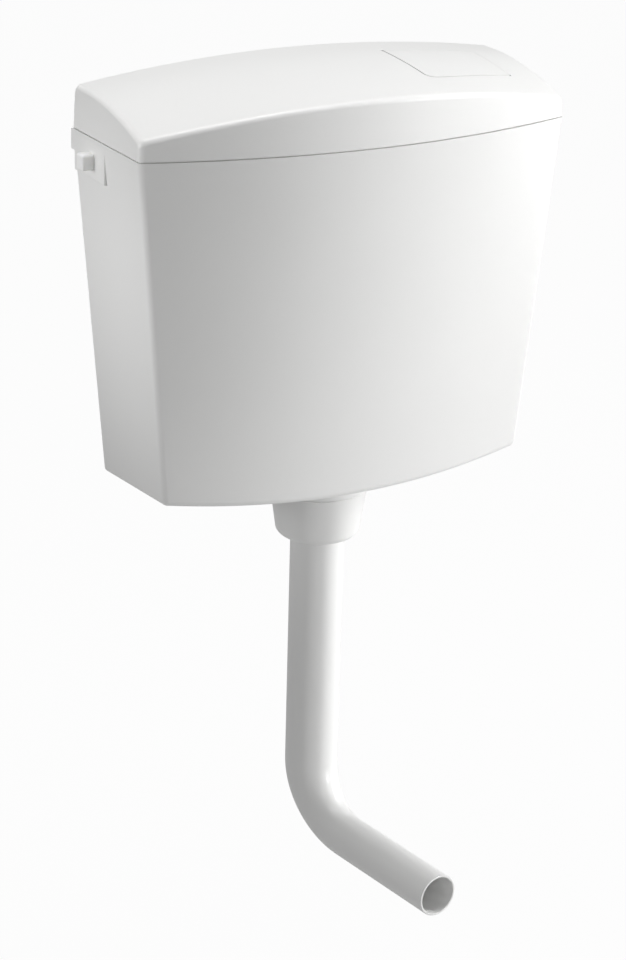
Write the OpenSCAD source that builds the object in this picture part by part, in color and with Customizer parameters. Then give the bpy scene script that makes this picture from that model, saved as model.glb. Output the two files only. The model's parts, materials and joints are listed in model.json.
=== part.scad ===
/* [Tank] */
// Width of the tank at its rim
tank_w = 420; // [410:1:440]
// How much each side draws in from the rim to the floor
side_taper = 28; // [24:0.5:32]
// Depth of the side walls at the rim
side_depth = 132; // [128:1:138]
// Depth of the side walls at the floor
floor_depth = 125; // [122:1:132]
// How far the front bows out at the rim
front_bow = 35; // [30:0.5:38]
// How far the front bows out at the floor
floor_bow = 17; // [14:0.5:22]
// Height from the floor's front corners to the rim
tank_h = 312; // [304:1:330]
// How much lower the floor lies at its rear edge
floor_fall = 10.5; // [9:0.5:12]
// How much lower the floor lies at its middle
floor_arch = 15; // [13:0.5:16]
// Wall thickness of the tank
wall = 3; // [2.6:0.1:3.4]
// Radius of the tank's front and lower edges
corner_r = 4.5; // [4:0.5:6]

/* [Lid] */
// Height of the lid's ends at the rear
lid_rear_h = 39; // [38:0.5:42]
// Height of the lid's ends at the front
lid_front_h = 17.5; // [16:0.5:19]
// Rise of the lid's middle at the rear
lid_rear_arch = 16; // [15:0.5:18]
// Rise of the lid's middle at the front
lid_front_arch = 25; // [24:0.5:27]
// Wall thickness of the lid
lid_wall = 2.8; // [2.4:0.1:3.2]
// Width of the shadow line between lid and tank
shadow_line = 1.3; // [0.8:0.1:1.8]

/* [Push plate] */
// Width of the plate
plate_w = 94; // [91:0.5:97]
// Distance from the lid's right end to the plate
plate_end = 42; // [40:0.5:45]
// Rear edge of the plate, from the wall
plate_back = 48; // [46:0.5:50]
// Distance from the lid's front to the plate's front edge
plate_inset = 41; // [38:0.5:44]
// Width of the open slot along the plate's left and front edges
plate_slot = 1.5; // [1.2:0.1:2]

/* [Wall rail] */
// Height of the hanging rail
rail_h = 19; // [17:0.5:22]
// How far the rail holds the tank off the wall
rail_d = 7; // [6:0.5:9]
// Distance between the two wall screws
screw_spacing = 230; // [200:5:260]
// Diameter of the wall screw holes
screw_d = 8; // [6:0.5:9]

/* [Inlets] */
// Depth of the inlet axis below the rim
inlet_drop = 20.5; // [20:0.5:22]
// Distance of the inlet axis from the wall
inlet_back = 41.5; // [39:0.5:44]
// Diameter of the threaded inlet tail
tail_d = 16.6; // [16:0.1:17]
// Shank diameter of the blanking plug
plug_d = 12; // [11:0.5:12.5]

/* [Flush valve] */
// Distance of the outlet axis from the wall
outlet_back = 82.5; // [80:0.5:88]
// Diameter of the outlet neck under the tank
neck_d = 92; // [90:0.5:96]
// Diameter of the valve's threaded tail
seat_tail_d = 60; // [58:0.5:61]
// Diameter of the overflow tube
tube_d = 34; // [32:0.5:35]

/* [Flush pipe] */
// Diameter of the pipe's down leg
pipe_d = 50; // [50:0.1:50.5]
// Diameter of the pipe's lower leg
spigot_d = 40; // [38:0.5:42]
// Wall thickness of the pipe
pipe_wall = 2; // [1.6:0.1:2.4]
// Height of the union collar
collar_h = 48.5; // [46:0.5:52]
// Length from the collar's lower end to the lower leg's axis
down_leg = 291.5; // [240:0.5:340]
// Length of the lower leg from the bend's corner
lower_leg = 196; // [160:1:240]
// Radius of the bend
bend_r = 60; // [52:1:70]
// Turn of the lower leg to the right of straight ahead
leg_turn = 8; // [0:1:12]

/* [Fits] */
// Radial clearance of a pin that turns or slides
running_fit = 0.05; // [0.03:0.01:0.08]
// Gap between pieces that move past each other
body_gap = 0.3; // [0.25:0.05:0.5]
// Radial clearance of a piece that is pushed into another
slip_fit = 0.15; // [0.1:0.05:0.25]

/* [Hidden] */
$fn = 64;
eps = 0.02;
// How far a cut runs past the face it leaves through, past all that sits on a pin, and past the lid's crown
cut = 1;
bore_past = 20;
crown_past = 25;
crown_reach = lid_rear_h + lid_rear_arch + crown_past;

// Main levels: the origin lies midway between the wall screws, on the wall
rim_z = rail_h / 2;
rear_y = -rail_d;
outlet_y = -outlet_back;
inlet_y = -inlet_back;
inlet_z = rim_z - inlet_drop;
floor_t = wall + 1;
floor_w = tank_w - 2 * side_taper;
corner_y = rear_y - floor_depth;

// Inlet pads, flat and upright on the leaning side walls
pad_step = 0.5;
pad_x = tank_w / 2 - pad_step;
pad_depth = 62;
pad_h = 36;
pad_t = 6;
pad_in_x = pad_x - pad_t;
pad_in_depth = 44;
pad_in_drop = 8;
pad_in_top = rim_z - pad_in_drop;
// The shank in the tank's wall is a little thicker than the tail that the hose nut goes on
shank_d = tail_d + 0.6;
inlet_hole_d = shank_d + 0.6;
plug_hole_d = plug_d + 0.6;
spacer_d = 26;
spacer_up = 50;
spacer_z = rim_z - tank_h + spacer_up;

// Outlet neck and the stack of pieces in it
neck_drop = 11;
neck_z = rim_z - tank_h - floor_arch - neck_drop;
neck_wall = 4;
neck_floor = 4;
neck_reach = 20;
gasket_t = 3;
seat_flange_t = 4;
seat_gap_r = 1;
seat_wall = 4;
seat_flange_d = neck_d - 2 * neck_wall - 2 * seat_gap_r;
seat_hole_d = seat_tail_d + 2 * seat_gap_r;
seat_bore_d = seat_tail_d - 2 * seat_wall;
gasket_z = neck_z + neck_floor;
flange_z = gasket_z + gasket_t;
seat_z = flange_z + seat_flange_t;
lip_h = 3;
lip_z = seat_z + lip_h;
tail_len = 30;
tail_z = neck_z - tail_len;
locknut_h = 11;
collar_z = neck_z - collar_h;
seal_t = 3.5;
bead_t = 5;
bead_z = tail_z - seal_t - bead_t;
bead_d = seat_tail_d - 2 * seat_gap_r;
locknut_wall = 5;
locknut_room = 2;
lug_w = 10;
lug_len = 4.5;
lug_gap = 2.5;
lug_r = seat_tail_d / 2 + locknut_wall - cut;
collar_taper = 5.6;
collar_round_h = 9.2;
collar_flat = 1;
collar_wall = 4;
collar_top_gap = 0.4;
collar_step = 1;
collar_top_r = max(neck_d / 2 - collar_step, lug_r + lug_len + lug_gap + collar_wall);
cup_r = collar_top_r - collar_wall;

// Lid seat and lip
lid_draft = tan(3);
lid_edge_r = 4;
seat_gap = 0.1;
lip_gap = 1.5;
lip_out = wall + lip_gap;
lip_t = 2;
lip_drop = 7;
band_h = 5;
shadow_depth = shadow_line + 0.2;
flat_share = 0.2;
crown_power = 1.7;

// Push plate: hinge, arms and push rod
plate_right = tank_w / 2 - plate_end;
plate_left = plate_right - plate_w;
hinge_in = 7;
hinge_drop = 2;
hinge_y = -plate_back - hinge_in;
hinge_z = rim_z + lid_rear_h - hinge_drop;
hinge_d = 4;
hinge_arm_w = 6;
hinge_ear_w = 5;
hinge_ear_gap = 3;
hinge_ear_half = 5;
hinge_pin_short = 0.5;
hinge_arm_in = 6;
plate_cut_up = 20;
plate_cut_z = rim_z + plate_cut_up;
plate_close = 0.4;
plate_corner_r = 9;
relief_d = 3.6;
press_in = 30;
press_reach = 33;
press_x = plate_left + press_in;
press_y = hinge_y - press_reach;
rod_d = 8;
boss_d = 14;
boss_up = 25;
rod_in = 12;
boss_z = rim_z + boss_up;
rod_top_z = boss_z + rod_in;

// Flush lever: the fork lifts at the tube, the pad is pressed by the rod
fulcrum_share = 0.75;
lever_drop = 30;
fulcrum_x = press_x * fulcrum_share;
lever_z = rim_z - lever_drop;
lever_h = 10;
lever_w = 8;
hub_d = 16;
hub_w = 16;
lever_pin_d = 5;
prong_t = 5;
pad_len = 14;
pad_w = 24;
cheek_t = 4;
cheek_w = 14;
beam_end = 1.5;
pin_gap = 0.2;
beam_w = 16;
beam_h = 8;
beam_drop = 20;
beam_z = lever_z - beam_drop;
trunnion_d = 6;
trunnion_z = lever_z + lever_h / 2 + trunnion_d / 2 + body_gap;
lift_collar_t = 4;
lift_collar_h = 12.5;
lift_collar_d = tube_d + 2 * lift_collar_t;
prong_gap = 1.2;
prong_in = lift_collar_d / 2 + prong_gap;

// Overflow tube and valve disc
tube_wall = 2;
tube_top_z = trunnion_z + lift_collar_h / 2;
disc_over = 5;
disc_d = seat_bore_d + 2 * disc_over;
disc_t = 4;
disc_seal_t = 3.2;
disc_z = lip_z + body_gap + disc_seal_t;
retainer_gap = 2.5;
retainer_d = seat_bore_d - 2 * retainer_gap;
retainer_t = 2.5;
spigot_in_d = 40;
spigot_drop = 5.7;
cage_h = 80;
cage_top_z = seat_z + cage_h;
cage_ring_h = 10;
cage_foot_h = 5;
disc_gap = 2.5;
cage_d = seat_flange_d - 2 * seat_gap_r;
cage_in_d = disc_d + 2 * disc_gap;
overflow_drop = 64;
overflow_z = rim_z - overflow_drop;
overflow_h = 20;
overflow_w = 11;
guide_wall = 4;
spoke_w = 5;
seat_lip_t = 2;
flush_float_d = 64;
flush_float_h = 34;
flush_float_up = 45;
flush_float_z = cage_top_z + flush_float_up;

// Fill valve
valve_in = 55;
valve_x = tank_w / 2 - valve_in;
washer_t = 2;
nut_t = 8;
plug_washer_d = 20;
plug_nut_w = 19;
plug_head_w = 14;
plug_head_l = 10.8;
plug_past = 3;
inlet_nut_w = 27;
inlet_flange_d = 25;
inlet_flange_t = 3;
inlet_body_d = 20;
tail_out = 19.5;
// Undercut between the nut and the tail's thread
undercut_d = tail_d - 1.2;
undercut_w = 2;
undercut_in = 0.5;
head_d = 30;
head_drop = 9.5;
head_h = 44;
head_top_z = rim_z - head_drop;
head_low_z = head_top_z - head_h;
chamber_d = 22;
chamber_drop = 7.5;
chamber_top_z = inlet_z - chamber_drop;
nozzle_d = 10;
nozzle_drop = 11.5;
nozzle_z = inlet_z - nozzle_drop;
bore_d = 9;
nozzle_hole_d = 5;
strainer_step = 1.5;
strainer_d = bore_d + 2 * strainer_step;
strainer_in_d = 6;
strainer_out = 4;
strainer_x = pad_x + strainer_out;
strainer_back = 4;
strainer_plate = 2;
strainer_len = 10;
spout_d = 14;
spout_root = 10;
spout_bore_root = 6;
spout_drop = 16.5;
tube_front = 26;
spout_z = inlet_z - spout_drop;
tube_y = inlet_y - tube_front;
drop_d = 16;
socket_d = 21;
socket_h = 21;
socket_deep = 8;
socket_up = 9;
socket_roof = 3;
socket_low_z = spout_z + socket_up - socket_h;
passage_d = 12;
drop_wall = 1.7;
drop_clear = 18;
drop_end_gap = 0.5;
cap_d = 32;
cap_h = 8;
cap_low_z = head_low_z - cap_h;
cap_plug_h = 4;
guide_d = 8;
piston_d = 14;
piston_travel = 2.9;
piston_washer_t = 3;
piston_washer_z = nozzle_z - piston_travel - body_gap - piston_washer_t;
piston_t = 5.8;
piston_rim_t = 1;
piston_rim_h = 1.5;
arm_out = 12;
arm_drop = 6.5;
arm_x = valve_x + arm_out;
arm_z = cap_low_z - arm_drop;
arm_pin_d = 4;
arm_w = 8;
arm_h = 8;
ear_t = 3;
ear_d = 10;
ear_front = 3;
arm_hub_d = 9;
arm_eye_d = 12;
nose_r = 3;
nose_drop = 1.3;
nose_z = arm_z - nose_drop;
rod_low_z = nose_z + nose_r + body_gap;
float_reach = 60;
float_x = arm_x - float_reach;
float_w = 44;
float_d = 38;
float_h = 36;
float_r = 8;
float_drop = 6;
float_top_z = arm_z - float_drop;
screw_rod_d = 5;
screw_in = 12;
screw_end_gap = 0.5;
screw_up = 12;
screw_head_d = 9;
screw_head_t = 4;

function mix(a, b, t) = a + (b - a) * t;
// Share of the way from the rim to the floor's front corners
function fall(z) = (rim_z - z) / tank_h;
function half_w(z) = mix(tank_w, floor_w, fall(z)) / 2;
function bow(x, z) = mix(front_bow, floor_bow, fall(z)) * (1 - pow(x / half_w(z), 2));
function front_y(x, z) = rear_y - mix(side_depth, floor_depth, fall(z)) - bow(x, z);
function floor_z(x, y) = rim_z - tank_h - floor_arch * (1 - pow(2 * x / floor_w, 2))
  - floor_fall * (y - corner_y) / floor_depth;

// Stations along the width, as [side, inset, recess]: the ends are rounded by r
END_STEPS = 4;
MID_STEPS = 16;
function round_end(side, r, k) = let(a = 90 * k / END_STEPS) [side, r * (1 - cos(a)), r * (1 - sin(a))];
function stations(r) = concat(
  [for (k = [0:END_STEPS]) round_end(-1, r, k)],
  [for (j = [1:MID_STEPS - 1]) [2 * j / MID_STEPS - 1, r, 0]],
  [for (k = [END_STEPS:-1:0]) round_end(1, r, k)]);

// Solid through slices of equal length that follow each other along +X
module loft(slices) {
  n = len(slices[0]);
  m = len(slices);
  points = [for (s = slices) each s];
  sides = [for (i = [0:m - 2], j = [0:n - 1]) let(k = (j + 1) % n) each [
    [i * n + j, i * n + k, (i + 1) * n + k],
    [i * n + j, (i + 1) * n + k, (i + 1) * n + j]]];
  caps = [[for (j = [n - 1:-1:0]) j], [for (j = [0:n - 1]) (m - 1) * n + j]];
  polyhedron(points, concat(sides, caps));
}

// One upright slice of the tank, set in by off from the outside
EDGE_STEPS = 4;
function tank_x(st, off, z) = st[0] * (half_w(z) - off - st[1]);
function tank_front(st, off, z) = front_y(tank_x(st, off, z), z) + off + st[2];
function tank_floor(st, off, y) = floor_z(tank_x(st, off, rim_z - tank_h), y)
  + (off > 0 ? off + floor_t - wall : 0) + st[2];
function tank_slice(st, off, top) = let(
    r = max(2, corner_r + 1 - off),
    y_low = tank_front(st, off, rim_z - tank_h),
    rear = rear_y - off)
  [for (p = concat(
    [[rear, top], [rear, tank_floor(st, off, rear)]],
    [for (k = [EDGE_STEPS:-1:0]) let(a = 90 * k / EDGE_STEPS, y = y_low + r * (1 - cos(a)))
      [y, tank_floor(st, off, y) + r * (1 - sin(a))]],
    [[tank_front(st, off, top), top]]))
    [tank_x(st, off, p[1]), p[0], p[1]]];
module tank_form(off, top) {
  loft([for (st = stations(max(2, corner_r - off))) tank_slice(st, off, top)]);
}

// Outline of the rim, set in by off
function rim_outline(off) = concat(
  [for (st = stations(max(1, corner_r - off))) [tank_x(st, off, rim_z), tank_front(st, off, rim_z)]],
  [[tank_w / 2 - off, rear_y - off], [off - tank_w / 2, rear_y - off]]);
module rim_ring(off_out, off_in, z, h) {
  translate([0, 0, z]) difference() {
    linear_extrude(h) polygon(rim_outline(off_out));
    translate([0, 0, -cut]) linear_extrude(h + 2 * cut) polygon(rim_outline(off_in));
  }
}

// Height of the lid's crowned top
function lid_z(x, y) = let(
    e = 1 - pow(2 * x / tank_w, 2),
    share = (rear_y - y) / (side_depth + front_bow * e),
    rear_h = lid_rear_h + lid_rear_arch * e,
    front_h = lid_front_h + lid_front_arch * e)
  rim_z + rear_h - (rear_h - front_h) * pow(max(0, (share - flat_share) / (1 - flat_share)), crown_power);

// One upright slice of the lid, set in by off from the outside
CROWN_STEPS = 9;
function lid_x(st, off, z) = st[0] * (tank_w / 2 - (z - rim_z) * lid_draft - off - st[1]);
function lid_top(st, off, y) = lid_z(st[0] * (tank_w / 2 - st[1]), y) - off - st[2];
function lid_slice(st, off, low) = let(
    r = max(1, lid_edge_r - off),
    x = st[0] * (tank_w / 2 - off - st[1]),
    y_front = front_y(x, rim_z) + off + st[2],
    y_rear = rear_y - off,
    steps = [for (k = [0:EDGE_STEPS]) 90 * k / EDGE_STEPS],
    ys = concat([for (a = steps) y_front + r * (1 - cos(a))],
      [for (j = [1:CROWN_STEPS - 1]) mix(y_front + r, y_rear - r, j / CROWN_STEPS)],
      [for (k = [EDGE_STEPS:-1:0]) y_rear - r * (1 - cos(steps[k]))]),
    cuts = concat([for (a = steps) r * (1 - sin(a))], [for (j = [1:CROWN_STEPS - 1]) 0],
      [for (k = [EDGE_STEPS:-1:0]) r * (1 - sin(steps[k]))]))
  concat([[x, y_rear, low], [x, y_front, low]],
    [for (i = [0:len(ys) - 1]) let(z = lid_top(st, off, ys[i]) - cuts[i]) [lid_x(st, off, z), ys[i], z]]);
module lid_form(off, low) {
  loft([for (st = stations(max(1.5, corner_r - off))) lid_slice(st, off, low)]);
}
module lid_shell() {
  difference() {
    lid_form(0, rim_z + seat_gap);
    lid_form(lid_wall, rim_z - cut);
  }
}

// Plan outline of the push plate, grown by open at left and front and by close at right and rear
PLATE_STEPS = 8;
function plate_front_y(x) = front_y(x, rim_z) + plate_inset;
function plate_outline(open, close) = let(
    x0 = plate_left - open,
    x1 = plate_right + close,
    r = plate_corner_r + open)
  concat(
    [for (k = [0:PLATE_STEPS]) let(a = 90 * k / PLATE_STEPS, x = x0 + r * (1 - cos(a)))
      [x, plate_front_y(x) - open + r * (1 - sin(a))]],
    [for (k = [1:PLATE_STEPS]) let(x = mix(x0 + r, x1, k / PLATE_STEPS)) [x, plate_front_y(x) - open]],
    [[x1, -plate_back + close], [x0, -plate_back + close]]);
module plate_prism(open, close) {
  translate([0, 0, plate_cut_z]) linear_extrude(crown_reach) polygon(plate_outline(open, close));
}

module x_rod(d, x0, x1, y, z) {
  translate([x0, y, z]) rotate([0, 90, 0]) cylinder(d = d, h = x1 - x0);
}
module y_rod(d, x, y0, y1, z) {
  translate([x, y1, z]) rotate([90, 0, 0]) cylinder(d = d, h = y1 - y0);
}
module box(x0, x1, y0, y1, z0, z1) {
  translate([x0, y0, z0]) cube([x1 - x0, y1 - y0, z1 - z0]);
}
module ring(d_out, d_in, z, h) {
  translate([0, outlet_y, z]) difference() {
    cylinder(d = d_out, h = h);
    translate([0, 0, -cut]) cylinder(d = d_in, h = h + 2 * cut);
  }
}
// Hexagonal nut on an axis along X
module x_nut(across, hole, x0, x1) {
  difference() {
    translate([x0, inlet_y, inlet_z]) rotate([0, 90, 0]) rotate([0, 0, 30])
      cylinder(d = across / cos(30), h = x1 - x0, $fn = 6);
    x_rod(hole, x0 - cut, x1 + cut, inlet_y, inlet_z);
  }
}
module x_washer(d_out, d_in, x0, x1) {
  difference() {
    x_rod(d_out, x0, x1, inlet_y, inlet_z);
    x_rod(d_in, x0 - cut, x1 + cut, inlet_y, inlet_z);
  }
}
// Pin along Y that stands out by end on both sides of reach, with a head at its front
module headed_pin(d, x, y, reach, z, end, head_t) {
  y_rod(d, x, y - reach - end, y + reach + end, z);
  y_rod(d + 2 * end, x, y - reach - pin_gap - head_t, y - reach - pin_gap, z);
}

// Tank moulding
module tank_outside() {
  pad_root = half_w(rim_z - pad_h) - wall;
  union() {
    tank_form(0, rim_z);
    box(-pad_x, pad_x, -rail_d - eps, 0, -rail_h / 2, rim_z);
    for (side = [-1, 1]) {
      box(side > 0 ? pad_root : -pad_x, side > 0 ? pad_x : -pad_root, rear_y - pad_depth, rear_y,
        rim_z - pad_h, rim_z);
      y_rod(spacer_d, side * screw_spacing / 2, rear_y - eps, 0, spacer_z);
    }
    translate([0, outlet_y, neck_z]) cylinder(d = neck_d, h = neck_reach);
  }
}
module bridge_pockets() {
  reach = 9;
  rib = 2.5;
  shelf_t = 6;
  half = beam_w / 2 + body_gap;
  y_front = front_y(fulcrum_x, beam_z) + wall + reach;
  for (ends = [[rear_y - wall - reach, rear_y], [y_front - 3 * reach, y_front]]) {
    box(fulcrum_x - half - rib, fulcrum_x + half + rib, ends[0], ends[1], beam_z - shelf_t, beam_z);
    for (x0 = [fulcrum_x - half - rib, fulcrum_x + half])
      box(x0, x0 + rib, ends[0], ends[1], beam_z - shelf_t, beam_z + beam_h);
  }
}
module inlet_blocks() {
  for (x0 = [-pad_x, pad_in_x])
    box(x0, x0 + pad_t, inlet_y - pad_in_depth / 2, inlet_y + pad_in_depth / 2, rim_z - pad_h, pad_in_top);
}
module tank() color("white") difference() {
  union() {
    difference() {
      tank_outside();
      tank_form(wall, rim_z + 2 * cut);
    }
    intersection() {
      union() {
        bridge_pockets();
        inlet_blocks();
      }
      tank_form(wall / 2, rim_z);
    }
  }
  translate([0, outlet_y, neck_z + neck_floor]) cylinder(d = neck_d - 2 * neck_wall, h = 2 * neck_reach);
  translate([0, outlet_y, neck_z - cut]) cylinder(d = seat_hole_d, h = 2 * neck_reach);
  for (side = [-1, 1])
    y_rod(screw_d, side * screw_spacing / 2, rear_y - wall - cut, cut, 0);
  x_rod(plug_hole_d, -pad_x - cut, -pad_in_x + cut, inlet_y, inlet_z);
  x_rod(inlet_hole_d, pad_in_x - cut, pad_x + cut, inlet_y, inlet_z);
}

// Lid moulding with its seating lip and the ears of the push plate's hinge
ear_left = plate_left - plate_slot - hinge_ear_gap - hinge_ear_w;
ear_right = plate_right + plate_close + hinge_ear_gap;
module hinge_ears() {
  for (x0 = [ear_left, ear_right])
    box(x0, x0 + hinge_ear_w, hinge_y - hinge_ear_half, hinge_y + hinge_ear_half, hinge_z - hinge_ear_half,
      rim_z + crown_reach);
}
module hinge_bore() {
  x_rod(hinge_d + 2 * running_fit, plate_left - bore_past, plate_right + bore_past, hinge_y, hinge_z);
}
module lid() color("white") difference() {
  union() {
    lid_shell();
    rim_ring(shadow_depth, lip_out + lip_t, rim_z + seat_gap, band_h);
    rim_ring(lip_out, lip_out + lip_t, rim_z - lip_drop, lip_drop + band_h);
    intersection() {
      hinge_ears();
      lid_form(lid_wall / 2, rim_z);
    }
  }
  rim_ring(-2 * cut, shadow_depth, rim_z - cut, shadow_line + cut);
  plate_prism(plate_slot, plate_close);
  translate([plate_left - plate_slot / 2, -plate_back, rim_z]) cylinder(d = relief_d, h = crown_reach);
  translate([plate_right, plate_front_y(plate_right) - plate_slot / 2, rim_z])
    cylinder(d = relief_d, h = crown_reach);
  hinge_bore();
}

// Push plate, cut from the same crowned form as the lid
module hinge_arms() {
  for (x0 = [plate_left + hinge_arm_in, plate_right - hinge_arm_in - hinge_arm_w])
    box(x0, x0 + hinge_arm_w, hinge_y - hinge_ear_half, hinge_y + hinge_ear_half - hinge_pin_short,
      hinge_z - hinge_ear_half, rim_z + crown_reach);
}
module flush_button() color("white") difference() {
  union() {
    intersection() {
      lid_shell();
      plate_prism(0, 0);
    }
    intersection() {
      union() {
        hinge_arms();
        translate([press_x, press_y, boss_z]) cylinder(d = boss_d, h = crown_reach);
      }
      lid_form(lid_wall / 2, rim_z);
    }
  }
  hinge_bore();
  translate([press_x, press_y, boss_z - cut])
    cylinder(d = rod_d + 2 * slip_fit, h = rod_top_z - boss_z + cut);
}
module button_hinge_pin() color("silver")
  x_rod(hinge_d, ear_left + hinge_pin_short, ear_right + hinge_ear_w - hinge_pin_short, hinge_y, hinge_z);
module button_pusher() color("gainsboro") translate([press_x, press_y, 0]) {
  low_z = lever_z + lever_h / 2 + body_gap + rod_d / 2;
  translate([0, 0, low_z]) sphere(d = rod_d);
  translate([0, 0, low_z]) cylinder(d = rod_d, h = rod_top_z - low_z);
}

// Cross beam, lever and its pin
module lever_bore() {
  y_rod(lever_pin_d + 2 * running_fit, fulcrum_x, outlet_y - bore_past, outlet_y + bore_past, lever_z);
}
module lever_bridge() color("gainsboro") difference() {
  union() {
    box(fulcrum_x - beam_w / 2, fulcrum_x + beam_w / 2,
      front_y(fulcrum_x + beam_w / 2, beam_z) + wall + beam_end, rear_y - wall - body_gap,
      beam_z, beam_z + beam_h);
    for (side = [-1, 1]) {
      y0 = outlet_y + side * (hub_w / 2 + body_gap + cheek_t / 2) - cheek_t / 2;
      box(fulcrum_x - cheek_w / 2, fulcrum_x + cheek_w / 2, y0, y0 + cheek_t, beam_z + beam_h - eps, lever_z);
      y_rod(cheek_w, fulcrum_x, y0, y0 + cheek_t, lever_z);
    }
  }
  lever_bore();
}
module lever_pin() color("silver")
  headed_pin(lever_pin_d, fulcrum_x, outlet_y, hub_w / 2 + body_gap + cheek_t, lever_z, 1.5, 2.8);
module flush_lever() color("whitesmoke") difference() {
  z0 = lever_z - lever_h / 2;
  z1 = lever_z + lever_h / 2;
  cross_gap = 8;
  cross_t = 6;
  prong_past = 9;
  pad_t_lever = 4;
  cross_x = lift_collar_d / 2 + cross_gap;
  prong_out = prong_in + prong_t;
  union() {
    box(cross_x, press_x + pad_len / 2, outlet_y - lever_w / 2, outlet_y + lever_w / 2, z0, z1);
    box(cross_x, cross_x + cross_t, outlet_y - prong_out, outlet_y + prong_out, z0, z1);
    for (y0 = [outlet_y - prong_out, outlet_y + prong_in])
      box(-prong_past, cross_x + eps, y0, y0 + prong_t, z0, z1);
    box(press_x - pad_len / 2, press_x + pad_len / 2, outlet_y - pad_w / 2, outlet_y + pad_w / 2,
      z1 - pad_t_lever, z1);
    y_rod(hub_d, fulcrum_x, outlet_y - hub_w / 2, outlet_y + hub_w / 2, lever_z);
  }
  lever_bore();
}

// Rising part of the flush valve
module lift_collar() color("gainsboro") difference() {
  reach = prong_in + prong_t + 1;
  union() {
    translate([0, outlet_y, tube_top_z - lift_collar_h]) cylinder(d = lift_collar_d, h = lift_collar_h);
    y_rod(trunnion_d, 0, outlet_y - reach, outlet_y + reach, trunnion_z);
  }
  translate([0, outlet_y, tube_top_z - lift_collar_h - cut])
    cylinder(d = tube_d + 2 * running_fit, h = lift_collar_h + 2 * cut);
}
module overflow_tube() color("whitesmoke") translate([0, outlet_y, 0]) difference() {
  union() {
    translate([0, 0, disc_z]) cylinder(d = tube_d, h = tube_top_z - disc_z);
    translate([0, 0, disc_z]) cylinder(d = disc_d, h = disc_t);
    translate([0, 0, disc_z - disc_seal_t - retainer_t]) cylinder(d = spigot_in_d, h = spigot_drop + eps);
  }
  translate([0, 0, neck_z]) cylinder(d = tube_d - 2 * tube_wall, h = tube_top_z - neck_z + cut);
  for (a = [45, 135])
    rotate([0, 0, a]) translate([-tube_d, -overflow_w / 2, overflow_z])
      cube([2 * tube_d, overflow_w, overflow_h]);
}
module flush_float() color("gainsboro")
  ring(flush_float_d, tube_d + 2 * slip_fit, flush_float_z, flush_float_h);
module plunger_seal() color("dimgray")
  ring(disc_d, spigot_in_d + 2 * slip_fit, disc_z - disc_seal_t, disc_seal_t);
module seal_retainer() color("gainsboro")
  ring(retainer_d, spigot_in_d + 2 * slip_fit, disc_z - disc_seal_t - retainer_t, retainer_t);

// Fixed part of the flush valve
module valve_cage() color("lightsteelblue") {
  post_w = 7;
  post_t = 6;
  post_z = seat_z + cage_foot_h - eps;
  ring_z = cage_top_z - cage_ring_h;
  ring(cage_d, cage_in_d, seat_z, cage_foot_h);
  for (a = [45:90:315])
    translate([0, outlet_y, post_z]) rotate([0, 0, a]) translate([cage_d / 2 - post_t, -post_w / 2, 0])
      cube([post_t, post_w, cage_top_z - seat_z - cage_foot_h]);
  ring(cage_d, cage_in_d, ring_z, cage_ring_h);
  ring(tube_d + 2 * guide_wall, tube_d + 2 * running_fit, ring_z, cage_ring_h);
  for (a = [45:90:315])
    translate([0, outlet_y, ring_z]) rotate([0, 0, a]) translate([(tube_d + guide_wall) / 2, -spoke_w / 2, 0])
      cube([(cage_in_d - tube_d) / 2, spoke_w, cage_ring_h]);
}
module valve_seat() color("whitesmoke") translate([0, outlet_y, 0]) difference() {
  union() {
    translate([0, 0, flange_z]) cylinder(d = seat_flange_d, h = seat_flange_t);
    translate([0, 0, tail_z]) cylinder(d = seat_tail_d, h = flange_z - tail_z + eps);
    translate([0, 0, seat_z - eps]) cylinder(d = seat_bore_d + 2 * seat_lip_t, h = lip_h + eps);
  }
  translate([0, 0, tail_z - cut]) cylinder(d = seat_bore_d, h = lip_z - tail_z + 2 * cut);
}
module outlet_gasket() color("dimgray")
  ring(seat_flange_d, seat_tail_d + 1, gasket_z, gasket_t);
module tank_locknut() color("gainsboro") {
  low_z = neck_z - locknut_h;
  ring(seat_tail_d + 2 * locknut_wall, seat_tail_d + 2 * slip_fit, low_z, locknut_h);
  for (a = [0:45:315])
    translate([0, outlet_y, low_z]) rotate([0, 0, a]) translate([lug_r, -lug_w / 2, 0])
      cube([lug_len, lug_w, locknut_h]);
}

// Union nut: a tapered cup whose lower end rounds in to the pipe
COLLAR_STEPS = 6;
module union_collar() color("white") translate([0, outlet_y, 0]) rotate_extrude() {
  low_r = collar_top_r - collar_taper;
  hole_r = pipe_d / 2 + body_gap;
  seat_r = seat_tail_d / 2 + slip_fit;
  shelf_z = neck_z - locknut_h - locknut_room;
  top = neck_z - collar_top_gap;
  round_w = low_r - hole_r - collar_flat;
  polygon(concat(
    [[hole_r, collar_z], [hole_r, bead_z], [seat_r, bead_z], [seat_r, shelf_z], [cup_r, shelf_z],
      [cup_r, top], [collar_top_r, top]],
    [for (k = [0:COLLAR_STEPS]) let(a = 90 * k / COLLAR_STEPS)
      [low_r - round_w * (1 - cos(a)), collar_z + collar_round_h * (1 - sin(a))]]));
}
module pipe_seal() color("dimgray")
  ring(bead_d, pipe_d - 2 * pipe_wall, tail_z - seal_t, seal_t);

// Flush pipe: down leg, bend that narrows, lower leg
// The bend is a little slimmer than the legs that it runs into
bend_step = 0.15;
bend_end_step = 0.1;
BEND_STEPS = 10;
BEND_SIDES = 40;
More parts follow.
